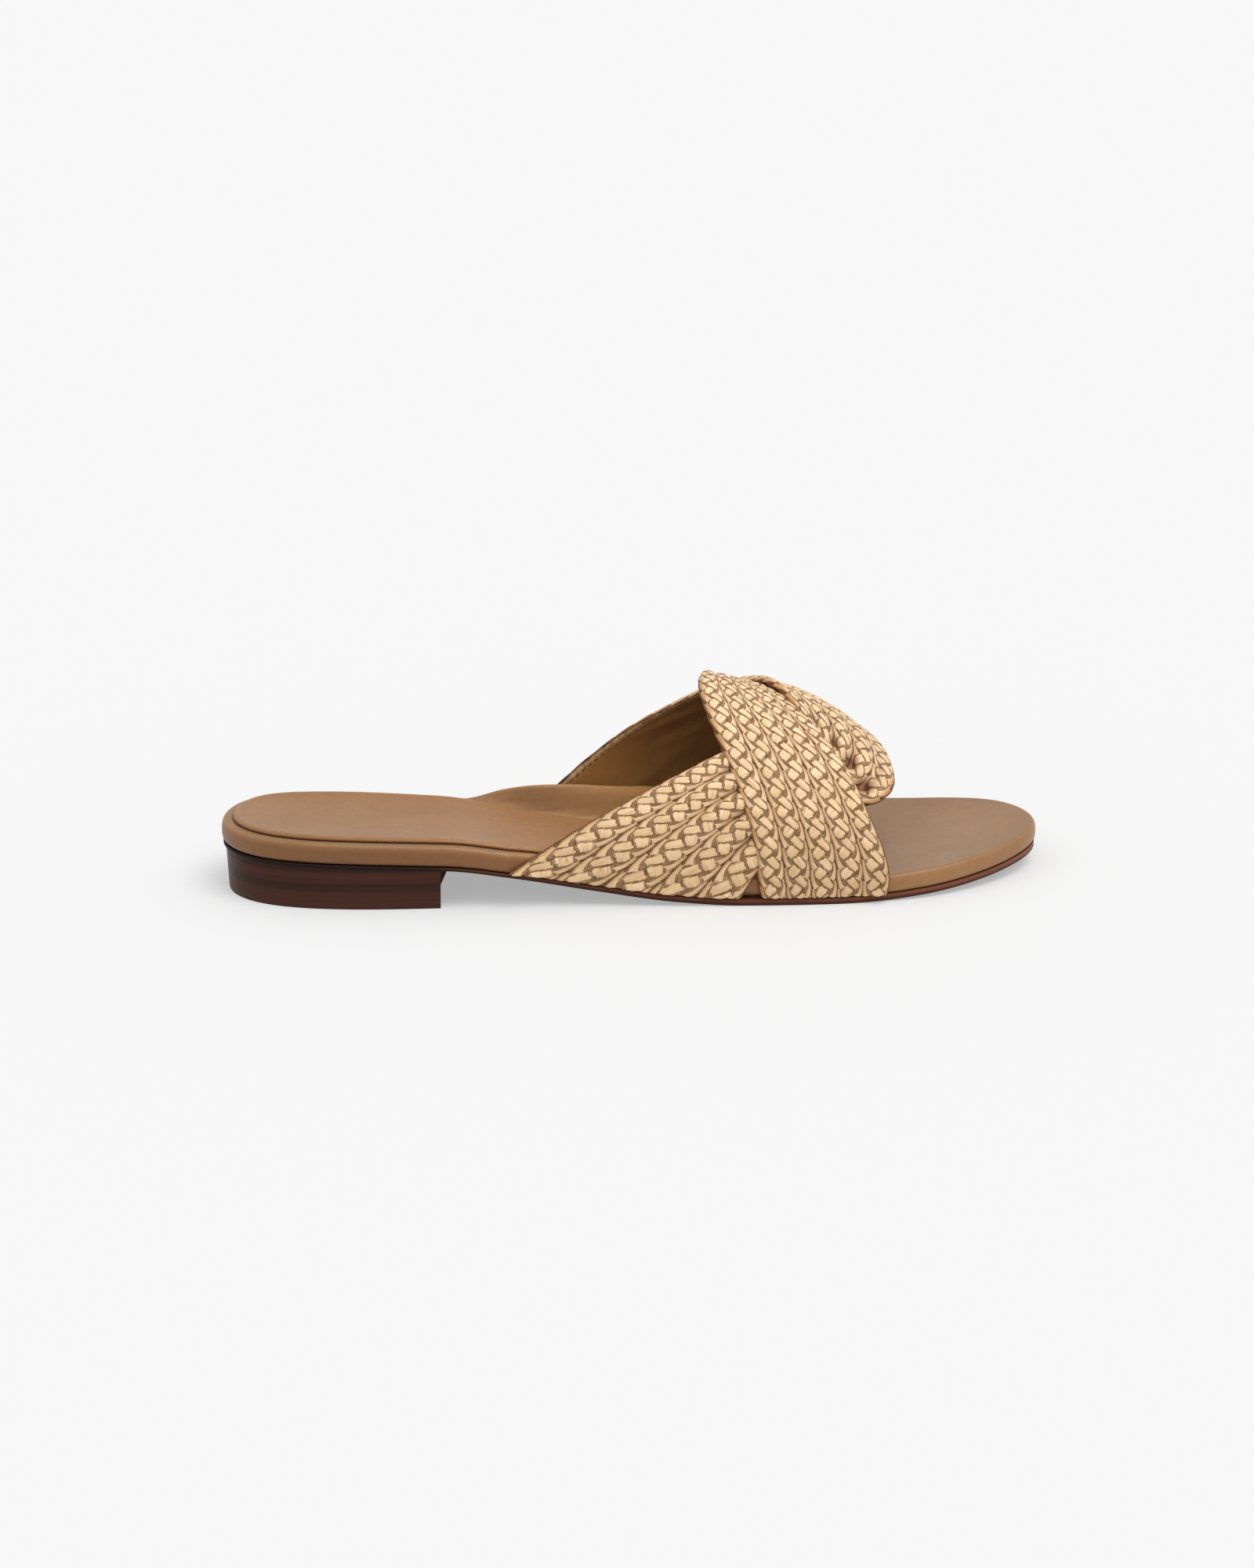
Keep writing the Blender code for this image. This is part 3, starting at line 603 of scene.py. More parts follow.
def ring_mesh(name, rings, finish, top, bottom, columns=40):
    """A closed piece from rings, lowest first. top and bottom: height of its two caps."""
    points, faces = [], []
    loops = [np.vstack([a, b[-2:0:-1]]) for a, b in rings]
    count = len(loops[0])
    for loop in loops:
        points += loop.tolist()
    for level in range(len(loops) - 1):
        for i in range(count):
            j = (i + 1) % count
            a = level * count
            faces.append((a + i, a + j, a + count + j, a + count + i))
    for ring, start, height, turned in ((rings[0], 0, bottom, True),
                                        (rings[-1], (len(loops) - 1) * count, top, False)):
        lateral, medial = ring
        last = len(lateral) - 1
        rows = [[start]]
        for i in range(1, last):
            t = np.linspace(0.0, 1.0, columns + 1)[1:-1, None]
            xy = lateral[i, :2] + (medial[i, :2] - lateral[i, :2]) * t
            begin = len(points)
            points += np.c_[xy, height(xy[:, 0], xy[:, 1])].tolist()
            rows.append([start + i] + list(range(begin, begin + columns - 1))
                        + [start + count - i])
        rows.append([start + last])
        for a, b in zip(rows, rows[1:]):
            for k in range(columns):
                corner = [a[min(k, len(a) - 1)], b[min(k, len(b) - 1)],
                          b[min(k + 1, len(b) - 1)], a[min(k + 1, len(a) - 1)]]
                face = [v for n, v in enumerate(corner) if v != corner[n - 1]]
                faces.append(face[::-1] if turned else face)
    return mesh_object(name, points, faces, finish)


def sole_line(count):
    x = stations(place(0.0), place(1.0), count)
    lateral, medial = -half_width(x, LATERAL), half_width(x, MEDIAL)
    lateral[0] = medial[0] = SIDES[LATERAL][0, 1]
    lateral[-1] = medial[-1] = SIDES[LATERAL][-1, 1]
    return x, lateral, medial


def build_footbed(finish):
    line = sole_line(150)
    x = line[0]
    roll = through_points(EDGE_ROLL, False, 5)
    rings = []
    for inset, height in roll:
        def level(px, py, height=height):
            low = outsole_top(px) + CLEARANCE
            return low + (footbed_top(px, py) - low) * min(height, 1.0)
        both = tuple(wrap_inset(x, side) + inset * pad_height(x) for side in (LATERAL, MEDIAL))
        rings.append(inset_ring(line, both, level))
    return ring_mesh("footbed_wrap", rings, finish, footbed_top,
                     lambda px, py: outsole_top(px) + CLEARANCE)


def build_outsole(finish):
    line = sole_line(170)
    edge = OUTSOLE_HEEL * OUTSOLE_ROUND
    rings = []
    for inset, rise in OUTSOLE_EDGE:
        rings.append(inset_ring(line, OUTSOLE_INSET + inset * edge,
                                lambda x, y, rise=rise: underside(x) + rise * edge))
    for inset, drop in OUTSOLE_EDGE[::-1]:
        rings.append(inset_ring(line, OUTSOLE_INSET + inset * edge,
                                lambda x, y, drop=drop: outsole_top(x) - drop * edge))
    thing = ring_mesh("outsole_leather", rings, finish, lambda x, y: outsole_top(x),
                      lambda x, y: underside(x))
    # Height up the outsole's edge, which its material uses for painted shade
    spots = np.array([vertex.co for vertex in thing.data.vertices]) - SHIFT
    low, high = underside(spots[:, 0]), outsole_top(spots[:, 0])
    level = (spots[:, 2] - low) / (high - low)
    point_attribute(thing, "edge", np.stack([level, 0.0 * level, 0.0 * level], -1))
    return thing


def heel_ring(inset, height):
    """A closed ring of the heel: along its outer side, across the breast, and back."""
    back, front = place(0.0), place(BREAST_AT)
    x = np.append(stations(back, 2 * front - back, 2 * HEEL_STATIONS)[:HEEL_STATIONS], front)
    narrow = 1.0 - inset / half_width(front, LATERAL)
    shorter = 1.0 - inset / (front - back)
    sides = []
    for side in (LATERAL, MEDIAL):
        y = side * half_width(x, side) * narrow
        y[0] = SIDES[LATERAL][0, 1]
        moved = front + (x - front) * shorter
        z = height(moved)
        flare = BREAST_SLANT * unit((z[-1] - BREAST_FLARE) / (HEEL_LIFT - BREAST_FLARE))
        moved = np.r_[moved, moved[-1] + CORNER_OUT, moved[-1] + flare]
        y = np.r_[y, y[-1] - side * CORNER_IN, y[-1] - side * CORNER_FLAT]
        sides.append(np.c_[moved, y, np.r_[z, z[-1], z[-1]]])
    return np.vstack([sides[0], sides[1][:0:-1]])


def heel_mesh(name, levels, finish):
    """A closed block of the heel. levels: inset and height of its rings, lowest first."""
    rings = [heel_ring(inset, height) for inset, height in levels]
    count = len(rings[0])
    faces = net_faces(len(rings), count, True)
    for first, turned in ((0, True), ((len(rings) - 1) * count, False)):
        for i in range(HEEL_STATIONS + 2):
            a, b = first + i, first + i + 1
            c, d = first + count - i - 1, first + (count - i) % count
            face = [a, b, c] if i == 0 else [a, b, c, d]
            faces.append(face[::-1] if turned else face)
    return mesh_object(name, np.vstack(rings), faces, finish, True)


def build_heel(stack_finish, wear_finish):
    taper = HEEL_INSET * HEEL_TAPER
    seam = HEEL_INSET - taper * TOP_PIECE / HEEL_LIFT

    def flat(z):
        return lambda x: np.full_like(x, z)
    wear = [(HEEL_INSET + WEAR_EDGE, flat(0.0)),
            (HEEL_INSET + 0.3 * WEAR_EDGE, flat(0.3 * WEAR_EDGE)),
            (HEEL_INSET, flat(WEAR_EDGE)), (seam, flat(TOP_PIECE))]
    levels = []
    for part, groove in STACK_GROOVES:
        levels.append((seam + (HEEL_INSET - taper - seam) * part + groove * MM,
                       lambda x, part=part: TOP_PIECE + HEEL_SEAM
                       + (underside(x) - HEEL_SEAM - HEEL_TOP - TOP_PIECE) * part))
    return [heel_mesh("heel_wear", wear, wear_finish),
            heel_mesh("heel_block", levels, stack_finish)]


# Heights in the heel stack, as shares, and how deep its side lies there in millimetres
STACK_GROOVES = (
    (0.000, 0.00), (0.100, 0.00), (0.250, 0.00), (0.350, 0.00), (0.450, 0.00), (0.462, 0.03),
    (0.474, 0.00), (0.700, 0.00), (0.712, 0.03), (0.724, 0.00), (0.860, 0.00), (0.872, 0.03),
    (0.884, 0.00), (1.000, 0.00),
)

# Along a stitch: place, thickness and how deep it sinks, as shares of its length and radius
STITCH = ((0.00, 0.35, 0.95), (0.10, 0.75, 0.40), (0.30, 1.00, 0.05), (0.70, 1.00, 0.05),
          (0.90, 0.75, 0.40), (1.00, 0.35, 0.95))


def stitch_mesh(name, tracks, finish, length, gap, radius):
    """Rows of stitches. tracks: points and the way out of the surface at each of them."""
    points, faces = [], []
    corner = np.linspace(0.0, 2.0 * math.pi, 8, endpoint=False)
    along, thick, sink = np.array(STITCH).T
    for track, out in tracks:
        run = run_along(track)
        count = int(run[-1] / (length + gap))
        pitch = run[-1] / count
        for k in range(count):
            s = pitch * (k + along * length / (length + gap))
            middle = np.stack([np.interp(s, run, track[:, i]) for i in range(3)], -1)
            up = np.stack([np.interp(s, run, out[:, i]) for i in range(3)], -1)
            way = middle[-1] - middle[0]
            across = np.cross(way, up)
            across /= np.linalg.norm(across, axis=1)[:, None]
            middle = middle - up * (sink * radius)[:, None]
            ring = (across[:, None] * np.cos(corner)[:, None]
                    + up[:, None] * np.sin(corner)[:, None]) * (thick * radius)[:, None, None]
            first = len(points) * len(along) * len(corner)
            points.append((middle[:, None] + ring).reshape(-1, 3))
            faces += tube_faces(len(along), len(corner), first)
    return mesh_object(name, np.vstack(points), faces, finish)


def strap_tracks(strap, bend):
    """Where the lining is sewn along the strap's two edges."""
    tracks = []
    where = np.linspace(0.0, strap.index[-1], 400)
    width = np.linalg.norm(strap.point(where, 1.0, 0.0) - strap.point(where, 0.0, 0.0), axis=1)
    for from_rear in (True, False):
        off = LINING_SEAM / width
        across = off if from_rear else 1.0 - off
        lift = bend(where / strap.index[-1], across)
        base = strap.point(where, across, lift)
        out = base - strap.point(where, across, lift + MM)
        tracks.append((base, out / np.linalg.norm(out, axis=1)[:, None]))
    return tracks


def sock_track():
    line = sock_line(150)
    lateral, medial = inset_ring(line, SOCK_SEAM, lambda x, y: footbed_top(x, y) + CLEARANCE
                                 + 0.35 * SOCK_THICKNESS)
    loop = np.vstack([lateral, medial[-2::-1]])
    return [(loop, np.broadcast_to((0.0, 0.0, 1.0), loop.shape))]


def sock_line(count):
    """Outline of the sock: an even margin inside the wrap, and a round front end."""
    rear, front = place(0.0) + SOCK_MARGIN, place(SOCK_END)
    x = stations(rear, front, count)
    wrap = sole_line(400)
    inner = inset_ring(wrap, 0.35 * wrap_inset(wrap[0], LATERAL) + SOCK_MARGIN, lambda x, y: x)
    lateral, medial = [np.interp(x, side[:, 0], side[:, 1]) for side in inner]
    medial = np.minimum(arch_start(x), medial)
    medial[0] = lateral[0]
    middle = 0.5 * (lateral + medial)
    bulge = np.sqrt(1.0 - (1.0 - unit((front - x) / SOCK_END_ROUND)) ** 2)
    return x, middle + (lateral - middle) * bulge, middle + (medial - middle) * bulge


def build_sock(finish):
    line = sock_line(150)

    def above(rise):
        return lambda x, y: footbed_top(x, y) + CLEARANCE + rise * SOCK_THICKNESS
    rings = [inset_ring(line, inset * SOCK_THICKNESS, above(rise)) for inset, rise in SOCK_EDGE]
    return ring_mesh("sock_pad", rings, finish, above(1.0), above(0.0))


# Materials

def new_material(name):
    finish = bpy.data.materials.new(name)
    finish.use_nodes = True
    return finish, finish.node_tree, finish.node_tree.nodes["Principled BSDF"]


def add(tree, kind, **values):
    node = tree.nodes.new(kind)
    for key, value in values.items():
        setattr(node, key, value)
    return node


def settle(node, values):
    for name, value in values.items():
        node.inputs[name].default_value = value


def feed(tree, value, socket):
    """Sets a socket to a number or a colour, or links it to an output."""
    if isinstance(value, (int, float)):
        socket.default_value = value
    elif isinstance(value, tuple):
        socket.default_value = (*value, 1.0)
    else:
        tree.links.new(value, socket)


def math_node(tree, kind, *values):
    node = add(tree, "ShaderNodeMath", operation=kind)
    for slot, value in enumerate(values):
        feed(tree, value, node.inputs[slot])
    return node.outputs[0]


def mix(tree, factor, a, b, kind="MIX"):
    node = add(tree, "ShaderNodeMix", data_type="RGBA", blend_type=kind)
    for slot, value in ((0, factor), (6, a), (7, b)):
        feed(tree, value, node.inputs[slot])
    return node.outputs[2]


def tinted(tree, colour, tint, amount=1.0):
    return mix(tree, amount, colour, tint, "MULTIPLY")


def ramp(tree, source, stops):
    """stops: place and colour, or place and grey."""
    node = add(tree, "ShaderNodeValToRGB")
    elements = node.color_ramp.elements
    while len(elements) < len(stops):
        elements.new(0.5)
    for element, (at, colour) in zip(elements, stops):
        element.position = at
        element.color = (*(colour if isinstance(colour, tuple) else (colour,) * 3), 1.0)
    tree.links.new(source, node.inputs["Fac"])
    return node.outputs["Color"]


def noise(tree, vector, scale, detail=3.0, rough=0.5):
    node = add(tree, "ShaderNodeTexNoise")
    settle(node, {"Scale": scale, "Detail": detail, "Roughness": rough})
    tree.links.new(vector, node.inputs["Vector"])
    return node.outputs["Fac"]


def scaled(tree, vector, scale):
    node = add(tree, "ShaderNodeMapping")
    node.inputs["Scale"].default_value = scale
    tree.links.new(vector, node.inputs["Vector"])
    return node.outputs["Vector"]


def split(tree, vector):
    node = add(tree, "ShaderNodeSeparateXYZ")
    tree.links.new(vector, node.inputs["Vector"])
    return node.outputs


def attribute(tree, name):
    return add(tree, "ShaderNodeAttribute", attribute_name=name).outputs["Vector"]


def object_coordinates(tree):
    return add(tree, "ShaderNodeTexCoord").outputs["Object"]


def facing(tree):
    """Which way the surface looks."""
    return split(tree, add(tree, "ShaderNodeNewGeometry").outputs["Normal"])


def bump(tree, shader, height, distance, strength, after=None):
    node = add(tree, "ShaderNodeBump")
    settle(node, {"Strength": strength, "Distance": distance})
    tree.links.new(height, node.inputs["Height"])
    if after is not None:
        tree.links.new(after, node.inputs["Normal"])
    tree.links.new(node.outputs["Normal"], shader.inputs["Normal"])
    return node.outputs["Normal"]


def straw_material():
    """Pale straw strands: fine fibres along them, dark twisted threads along their edges."""
    finish, tree, shader = new_material("plaited_straw")
    vector = attribute(tree, "strand")
    side, run, tone = split(tree, vector)
    fibres = noise(tree, scaled(tree, vector, (8.0, 0.35, 13.0)), 1.0, 3.0, 0.65)
    patches = noise(tree, scaled(tree, vector, (0.7, 0.20, 31.0)), 1.0, 2.0)
    straw = ramp(tree, fibres, ((0.26, (0.47, 0.260, 0.100)), (0.42, (0.81, 0.550, 0.305)),
                                (0.72, (0.97, 0.755, 0.525))))
    straw = mix(tree, ramp(tree, patches, ((0.48, 0.0), (0.72, 0.50))), straw, (0.70, 0.46, 0.20))

    # The threads: uneven in width, twisted, with a dark line between the two
    fray = noise(tree, scaled(tree, vector, (1.3, 1.1, 7.0)), 1.0, 3.0, 0.7)
    rim = math_node(tree, "ADD", math_node(tree, "ABSOLUTE", side),
                    math_node(tree, "MULTIPLY_ADD", fray, 0.55, -0.275))
    slant = math_node(tree, "MULTIPLY", side, 10.0)
    twist = math_node(tree, "SINE", math_node(tree, "MULTIPLY_ADD", run, 8.0, slant))
    tones = noise(tree, scaled(tree, vector, (6.0, 0.33, 17.0)), 1.0, 3.0, 0.7)
    thread = ramp(tree, tones, ((0.34, (0.13, 0.054, 0.017)), (0.43, (0.42, 0.220, 0.066)),
                                (0.51, (0.36, 0.205, 0.095)), (0.60, (0.78, 0.56, 0.36)),
                                (0.70, (0.50, 0.28, 0.085))))
    dashes = ramp(tree, math_node(tree, "MULTIPLY_ADD", twist, 0.5, 0.5),
                  ((0.20, (0.60, 0.52, 0.44)), (0.55, 1.0)))
    thread = tinted(tree, thread, dashes, 0.75)
    repeat = math_node(tree, "MULTIPLY_ADD", rim, 1.0 / THREAD_GAP, -THREADS_FROM / THREAD_GAP)
    between = ramp(tree, math_node(tree, "PINGPONG", repeat, 0.5),
                   ((0.03, (0.26, 0.17, 0.10)), (0.19, 1.0)))
    thread = tinted(tree, thread, between)
    band = ramp(tree, rim, ((THREADS_FROM - 0.03, 0.0), (THREADS_FROM, 1.0)))
    colour = mix(tree, band, straw, thread)

    # Each strand's own tone, painted light towards the top, and painted shade in the creases, at
    # the hems and in the grooves
    colour = tinted(tree, colour, ramp(tree, tone, ((0.0, (0.90, 0.88, 0.84)), (1.0, 1.04))))
    # Painted light: the straw gets lighter towards the top and darker towards the bottom, as if
    # lit from above
    level = math_node(tree, "MULTIPLY", split(tree, object_coordinates(tree))["Z"],
                      1.0 / INSTEP_HEIGHT)
    colour = tinted(tree, colour, ramp(tree, level, (
        (0.25, (0.91, 0.88, 0.84)), (0.52, (1.07, 1.06, 1.05)), (0.95, (1.18, 1.21, 1.27)))))
    # Painted shade from the shade attribute: in the creases, at the hems and in the grooves
    for source, deep in zip(split(tree, attribute(tree, "shade")),
                            ((0.34, 0.21, 0.15), (0.92, 0.76, 0.54), (0.64, 0.54, 0.44))):
        colour = tinted(tree, colour, ramp(tree, source, ((0.10, 1.0), (1.0, deep))))
    tree.links.new(colour, shader.inputs["Base Color"])
    settle(shader, {"Roughness": 0.60, "Specular IOR Level": 0.30, "Sheen Weight": 0.10})
    first = bump(tree, shader, fibres, 0.12 * MM, 0.8)
    bump(tree, shader, math_node(tree, "MULTIPLY", twist, band), 0.07 * MM, 0.8, first)
    return finish


def backing_material():
    """Cloth under the plait: painted dark so that it shows as shade in the grooves, and straw
    brown darkened by painted shade round the strap's edges.
    """
    finish, tree, shader = new_material("strap_backing")
    weave = noise(tree, object_coordinates(tree), 900.0, 2.0)
    # Painted shade: a dark sheet that shows through the grooves between braids
    dark = ramp(tree, weave, ((0.35, (0.13, 0.075, 0.030)), (0.65, (0.30, 0.19, 0.09))))
    # Straw brown with painted shade, where the strands' edges show round the strap
    golden = ramp(tree, weave, ((0.35, (0.42, 0.25, 0.10)), (0.65, (0.72, 0.49, 0.25))))
    from_rear, from_front, _ = split(tree, attribute(tree, "band"))
    nearer = math_node(tree, "MINIMUM", from_rear, from_front)
    hem = ramp(tree, math_node(tree, "MULTIPLY", nearer, 0.2), ((0.34, 1.0), (0.50, 0.0)))
    tree.links.new(mix(tree, hem, dark, golden), shader.inputs["Base Color"])
    settle(shader, {"Roughness": 0.85})
    bump(tree, shader, weave, 0.2 * MM, 0.6)
    return finish


def leather_material(name, tones, grain, roughness, tints, steep=None):
    """Smooth leather. tones: dark, middle and light. tints: what its colour is multiplied by,
    from heel to toe; steep: the same for its steep sides, as painted shade, and with it comes a
    painted highlight where the top rolls over into the side."""
    finish, tree, shader = new_material(name)
    vector = object_coordinates(tree)
    cloud = noise(tree, scaled(tree, vector, (0.6, 1.0, 1.0)), 26.0, 4.0, 0.55)
    fine = noise(tree, vector, 420.0, 4.0, 0.6)
    colour = ramp(tree, cloud, tuple(zip((0.30, 0.52, 0.76), tones)))
    colour = tinted(tree, colour, ramp(tree, fine, ((0.30, 0.90), (0.70, 1.06))))
    length = math_node(tree, "MULTIPLY_ADD", split(tree, vector)["X"], 1.0 / LENGTH, 0.5)
    flat = tinted(tree, colour, ramp(tree, length, tints))
    if steep is None:
        colour = flat
    else:
        # Painted shade on the steep sides, strongest towards the heel
        up = facing(tree)["Z"]
        side = ramp(tree, up, ((0.10, 1.0), (0.60, 0.0)))
        colour = mix(tree, side, flat, tinted(tree, colour, ramp(tree, length, steep)))
        # Painted highlight along the roll between the top and the side
        colour = tinted(tree, colour, ramp(tree, up, (
            (0.40, 1.0), (0.68, (1.17, 1.07, 0.88)), (0.92, 1.0))))
    tree.links.new(colour, shader.inputs["Base Color"])
    pores = add(tree, "ShaderNodeTexVoronoi", feature="DISTANCE_TO_EDGE")
    settle(pores, {"Scale": 1900.0})
    tree.links.new(vector, pores.inputs["Vector"])
    edges = ramp(tree, pores.outputs["Distance"], ((0.0, 0.0), (0.22, 1.0)))
    first = bump(tree, shader, edges, grain * MM, 0.20)
    second = bump(tree, shader, fine, 0.06 * MM, 0.25, first)
    bump(tree, shader, cloud, 0.5 * MM, 0.15, second)
    rough = ramp(tree, cloud, ((0.3, roughness + 0.06), (0.7, roughness - 0.06)))
    tree.links.new(rough, shader.inputs["Roughness"])
    settle(shader, {"Specular IOR Level": 0.42, "Sheen Weight": 0.08})
    return finish


def edge_material(name, stops, roughness, axis, reach, front=1.0):
    """Stained leather or rubber seen on its edge. stops: colours along an axis; front: how dark
    the painted shade is on the side that faces the toe and past the heel's breast."""
    finish, tree, shader = new_material(name)
    vector = object_coordinates(tree)
    spot = split(tree, vector)
    low, high = reach
    at = math_node(tree, "MULTIPLY_ADD", spot[axis], 1.0 / (high - low), -low / (high - low))
    streaks = noise(tree, scaled(tree, vector, (9.0, 9.0, 900.0)), 1.0, 4.0, 0.6)
    colour = tinted(tree, ramp(tree, at, stops), ramp(tree, streaks, ((0.32, 0.80), (0.68, 1.16))))
    # Painted shade on the outsole's edge: dark towards its underside and just under the footbed
    if axis == "X":
        colour = tinted(tree, colour, ramp(tree, split(tree, attribute(tree, "edge"))["X"], (
            (0.05, 0.30), (0.40, 0.55), (0.62, 1.15), (0.88, 1.0), (0.97, 0.6))))
    # Painted shade on the faces that look towards the toe, and past the heel's breast
    colour = tinted(tree, colour, ramp(tree, facing(tree)["X"], ((0.45, 1.0), (0.80, front))))
    if front < 1.0:
        past = math_node(tree, "MULTIPLY_ADD", spot["X"], 1.0 / MM, -place(BREAST_AT) / MM)
        colour = tinted(tree, colour, ramp(tree, past, ((0.10, 1.0), (0.35, front))))
    tree.links.new(colour, shader.inputs["Base Color"])
    fine = noise(tree, scaled(tree, vector, (60.0, 60.0, 400.0)), 4.0, 4.0)
    bump(tree, shader, fine, 0.12 * MM, 0.3)
    settle(shader, {"Roughness": roughness, "Specular IOR Level": 0.12})
    return finish


def thread_material(name, dark, light):
    finish, tree, shader = new_material(name)
    strands = noise(tree, object_coordinates(tree), 1800.0, 2.0)
    tree.links.new(ramp(tree, strands, ((0.35, dark), (0.65, light))),
                   shader.inputs["Base Color"])
    bump(tree, shader, strands, 0.08 * MM, 0.6)
    settle(shader, {"Roughness": 0.6})
    return finish


# Stage

CAMERA_AZIMUTH = -6.48      # degrees; 0 looks at the outer side of the foot
CAMERA_ELEVATION = 17.6
CAMERA_DISTANCE = 1.5
CAMERA_TARGET = (0.0, 0.0, 0.025)
CAMERA_SCALE = 6279.4       # pixels of the 1600 wide image per metre of width at one metre
CAMERA_SHIFT = (-7.1, 12.6)
IMAGE_WIDTH = 1600
SENSOR = 36.0
FAR = 100.0

FLOOR_REACH = 40.0
FLOOR_GREY = 0.50
FLOOR_GLOW = 0.375
SKY = 0.72
SUN = 1.42
SUN_SPREAD = 40.0           # degrees
SUN_WAY = (-0.30, 0.42, -1.0)


def build_camera():
    data = bpy.data.cameras.new("camera")
    data.sensor_fit = "HORIZONTAL"
    data.sensor_width = SENSOR
    data.lens = CAMERA_SCALE * SENSOR / IMAGE_WIDTH
    data.shift_x = CAMERA_SHIFT[0] / IMAGE_WIDTH
    data.shift_y = CAMERA_SHIFT[1] / IMAGE_WIDTH
    data.clip_end = FAR
    camera = bpy.data.objects.new("camera", data)
    a, e = math.radians(CAMERA_AZIMUTH), math.radians(CAMERA_ELEVATION)
    back = np.array([math.sin(a) * math.cos(e), -math.cos(a) * math.cos(e), math.sin(e)])
    camera.location = np.array(CAMERA_TARGET) + SHIFT + back * CAMERA_DISTANCE
    camera.rotation_euler = (0.5 * math.pi - e, 0.0, a)
    bpy.context.scene.collection.objects.link(camera)
    bpy.context.scene.camera = camera


def build_light():
    """One soft sun and an even sky."""
    data = bpy.data.lights.new("key", "SUN")
    data.energy = SUN
    data.angle = math.radians(SUN_SPREAD)
    light = bpy.data.objects.new("key", data)
    light.rotation_euler = Vector(SUN_WAY).to_track_quat("-Z", "Y").to_euler()
    bpy.context.scene.collection.objects.link(light)
    world = bpy.data.worlds.new("studio")
    bpy.context.scene.world = world
    world.use_nodes = True
    settle(world.node_tree.nodes["Background"], {"Color": (1.0,) * 4, "Strength": SKY})
    bpy.context.scene.view_settings.view_transform = "Standard"


def build_floor():
    mesh_data = bpy.data.meshes.new("floor")
    mesh_data.from_pydata([(x * FLOOR_REACH, y * FLOOR_REACH, 0.0)
                           for x, y in ((-1, -1), (1, -1), (1, 1), (-1, 1))], [], [(0, 1, 2, 3)])
    finish, _, shader = new_material("floor")
    settle(shader, {"Base Color": (FLOOR_GREY, FLOOR_GREY, FLOOR_GREY, 1.0),
                    "Emission Color": (1.0,) * 4, "Emission Strength": FLOOR_GLOW,
                    "Roughness": 0.9, "Specular IOR Level": 0.0})
    mesh_data.materials.append(finish)
    floor = bpy.data.objects.new("floor", mesh_data)
    bpy.context.scene.collection.objects.link(floor)


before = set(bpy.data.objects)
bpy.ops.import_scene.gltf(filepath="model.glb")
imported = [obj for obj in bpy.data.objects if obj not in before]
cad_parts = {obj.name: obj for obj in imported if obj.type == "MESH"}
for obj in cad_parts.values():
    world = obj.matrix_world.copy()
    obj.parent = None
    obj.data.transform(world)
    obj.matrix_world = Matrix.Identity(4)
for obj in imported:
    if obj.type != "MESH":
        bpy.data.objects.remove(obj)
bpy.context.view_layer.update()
SHIFT = np.zeros(3)
# The model stands under the middle of its box: the outsole says how far that moved it sideways
SHIFT[1] = (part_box("outsole")[0][1] + np.max(half_width(sole_line(400)[0], LATERAL))
            - OUTSOLE_INSET)

straw = straw_material()
backing = backing_material()
lining = leather_material(
    "lining_leather", ((0.165, 0.070, 0.013), (0.215, 0.096, 0.021), (0.265, 0.125, 0.034)),
    0.04, 0.55, ((0.36, (2.0, 2.1, 2.4)), (0.54, 1.0)))
wrap_leather = leather_material(
    "footbed_leather", ((0.255, 0.128, 0.049), (0.292, 0.149, 0.058), (0.33, 0.174, 0.072)),
    # Tints along the length: painted light over the midfoot, where the straps shade the footbed
    0.05, 0.46, ((0.32, 1.0), (0.44, (1.40, 1.42, 1.22)), (0.62, (1.40, 1.42, 1.22)), (0.72, 1.0)),
    # Steep sides: painted shade, strongest at the heel
    ((0.30, (0.72, 0.56, 0.38)), (0.85, (1.06, 0.98, 0.84))))
sock_leather = leather_material(
    "sock_leather", ((0.30, 0.138, 0.045), (0.340, 0.160, 0.054), (0.38, 0.184, 0.066)),
    0.04, 0.42, ((0.10, 0.95), (0.40, (1.11, 1.09, 1.06))))
dark_thread = thread_material("lining_thread", (0.06, 0.028, 0.011), (0.12, 0.062, 0.026))
thread = thread_material("sock_thread", (0.12, 0.055, 0.020), (0.22, 0.110, 0.045))
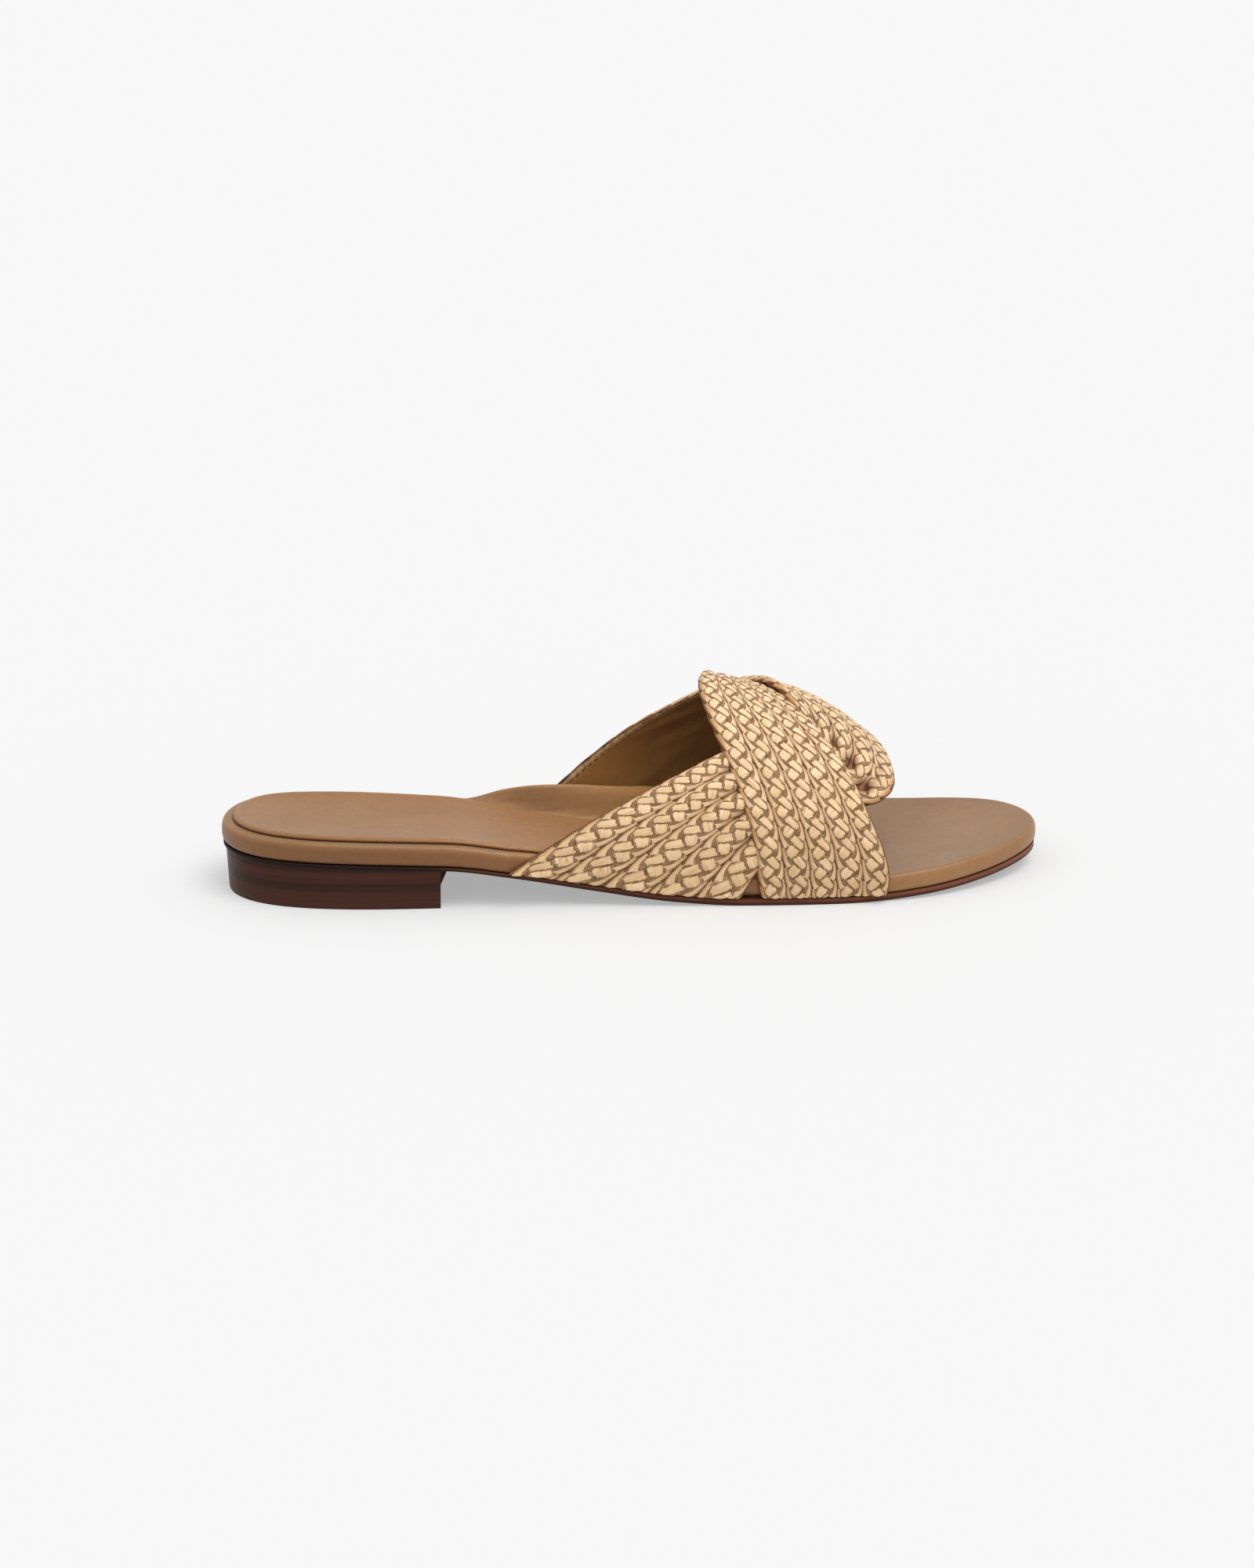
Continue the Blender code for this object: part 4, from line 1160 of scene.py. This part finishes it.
outsole_edge = edge_material("outsole_edge", (
    (0.00, (0.018, 0.007, 0.005)), (0.24, (0.024, 0.009, 0.006)), (0.30, (0.085, 0.026, 0.013)),
    (0.55, (0.105, 0.032, 0.016)), (0.85, (0.175, 0.058, 0.030)), (1.00, (0.230, 0.085, 0.046))),
    0.5, "X", (place(0.0), place(1.0)))
# front 0.22: painted shade on the heel's breast
heel_stack = edge_material("heel_stack", (
    (0.36, (0.058, 0.0205, 0.0115)), (0.46, (0.034, 0.0125, 0.0080)),
    (0.58, (0.032, 0.0120, 0.0080)), (0.66, (0.050, 0.0170, 0.0100)),
    (0.78, (0.060, 0.0190, 0.0105)), (0.84, (0.066, 0.0200, 0.0110)),
    (0.90, (0.034, 0.0125, 0.0085)), (1.00, (0.028, 0.0100, 0.0075))), 0.38, "Z",
    (0.0, HEEL_LIFT), 0.22)
heel_wear = edge_material("heel_wear_layer", (
    (0.00, (0.062, 0.0220, 0.0125)), (0.34, (0.058, 0.0205, 0.0115))), 0.42, "Z",
    (0.0, HEEL_LIFT))

for name, rows, pinches, creases, seed in (
        ("front_strap", FRONT_STRAP, FRONT_PINCHES, FRONT_FOLDS, 3),
        ("rear_strap", REAR_STRAP, REAR_PINCHES, REAR_FOLDS, 8)):
    chance = np.random.default_rng(seed)
    strap = Strap(name, rows, pinches)
    bend = folds(strap, creases)
    pieces = [braid_mesh(strap, braid, straw, chance) for braid in range(BRAIDS)]
    pieces.append(band_mesh(name + "_backing", strap, backing_section(), BACKING_ROWS, backing))
    pieces.append(band_mesh(name + "_lining", strap, lining_section(), LINING_ROWS, lining, bend))
    if name == "rear_strap":
        pieces.append(stitch_mesh(name + "_seams", strap_tracks(strap, bend), dark_thread,
                                  *LINING_STITCH))
    for piece in pieces:
        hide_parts("upper")

wear, stack = build_heel(heel_stack, heel_wear)
for piece, node, slot in (
        (build_footbed(wrap_leather), "midsole", "footbed_leather"),
        (build_sock(sock_leather), "insole", "sock_leather"),
        (stitch_mesh("sock_seam", sock_track(), thread, *SOCK_STITCH), "insole", "sock_leather"),
        (build_outsole(outsole_edge), "outsole", "outsole_leather"),
        (stack, "heel", "heel_stack"), (wear, "heel_top_piece", "heel_wear_layer")):
    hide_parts(node)

build_floor()
build_light()
build_camera()
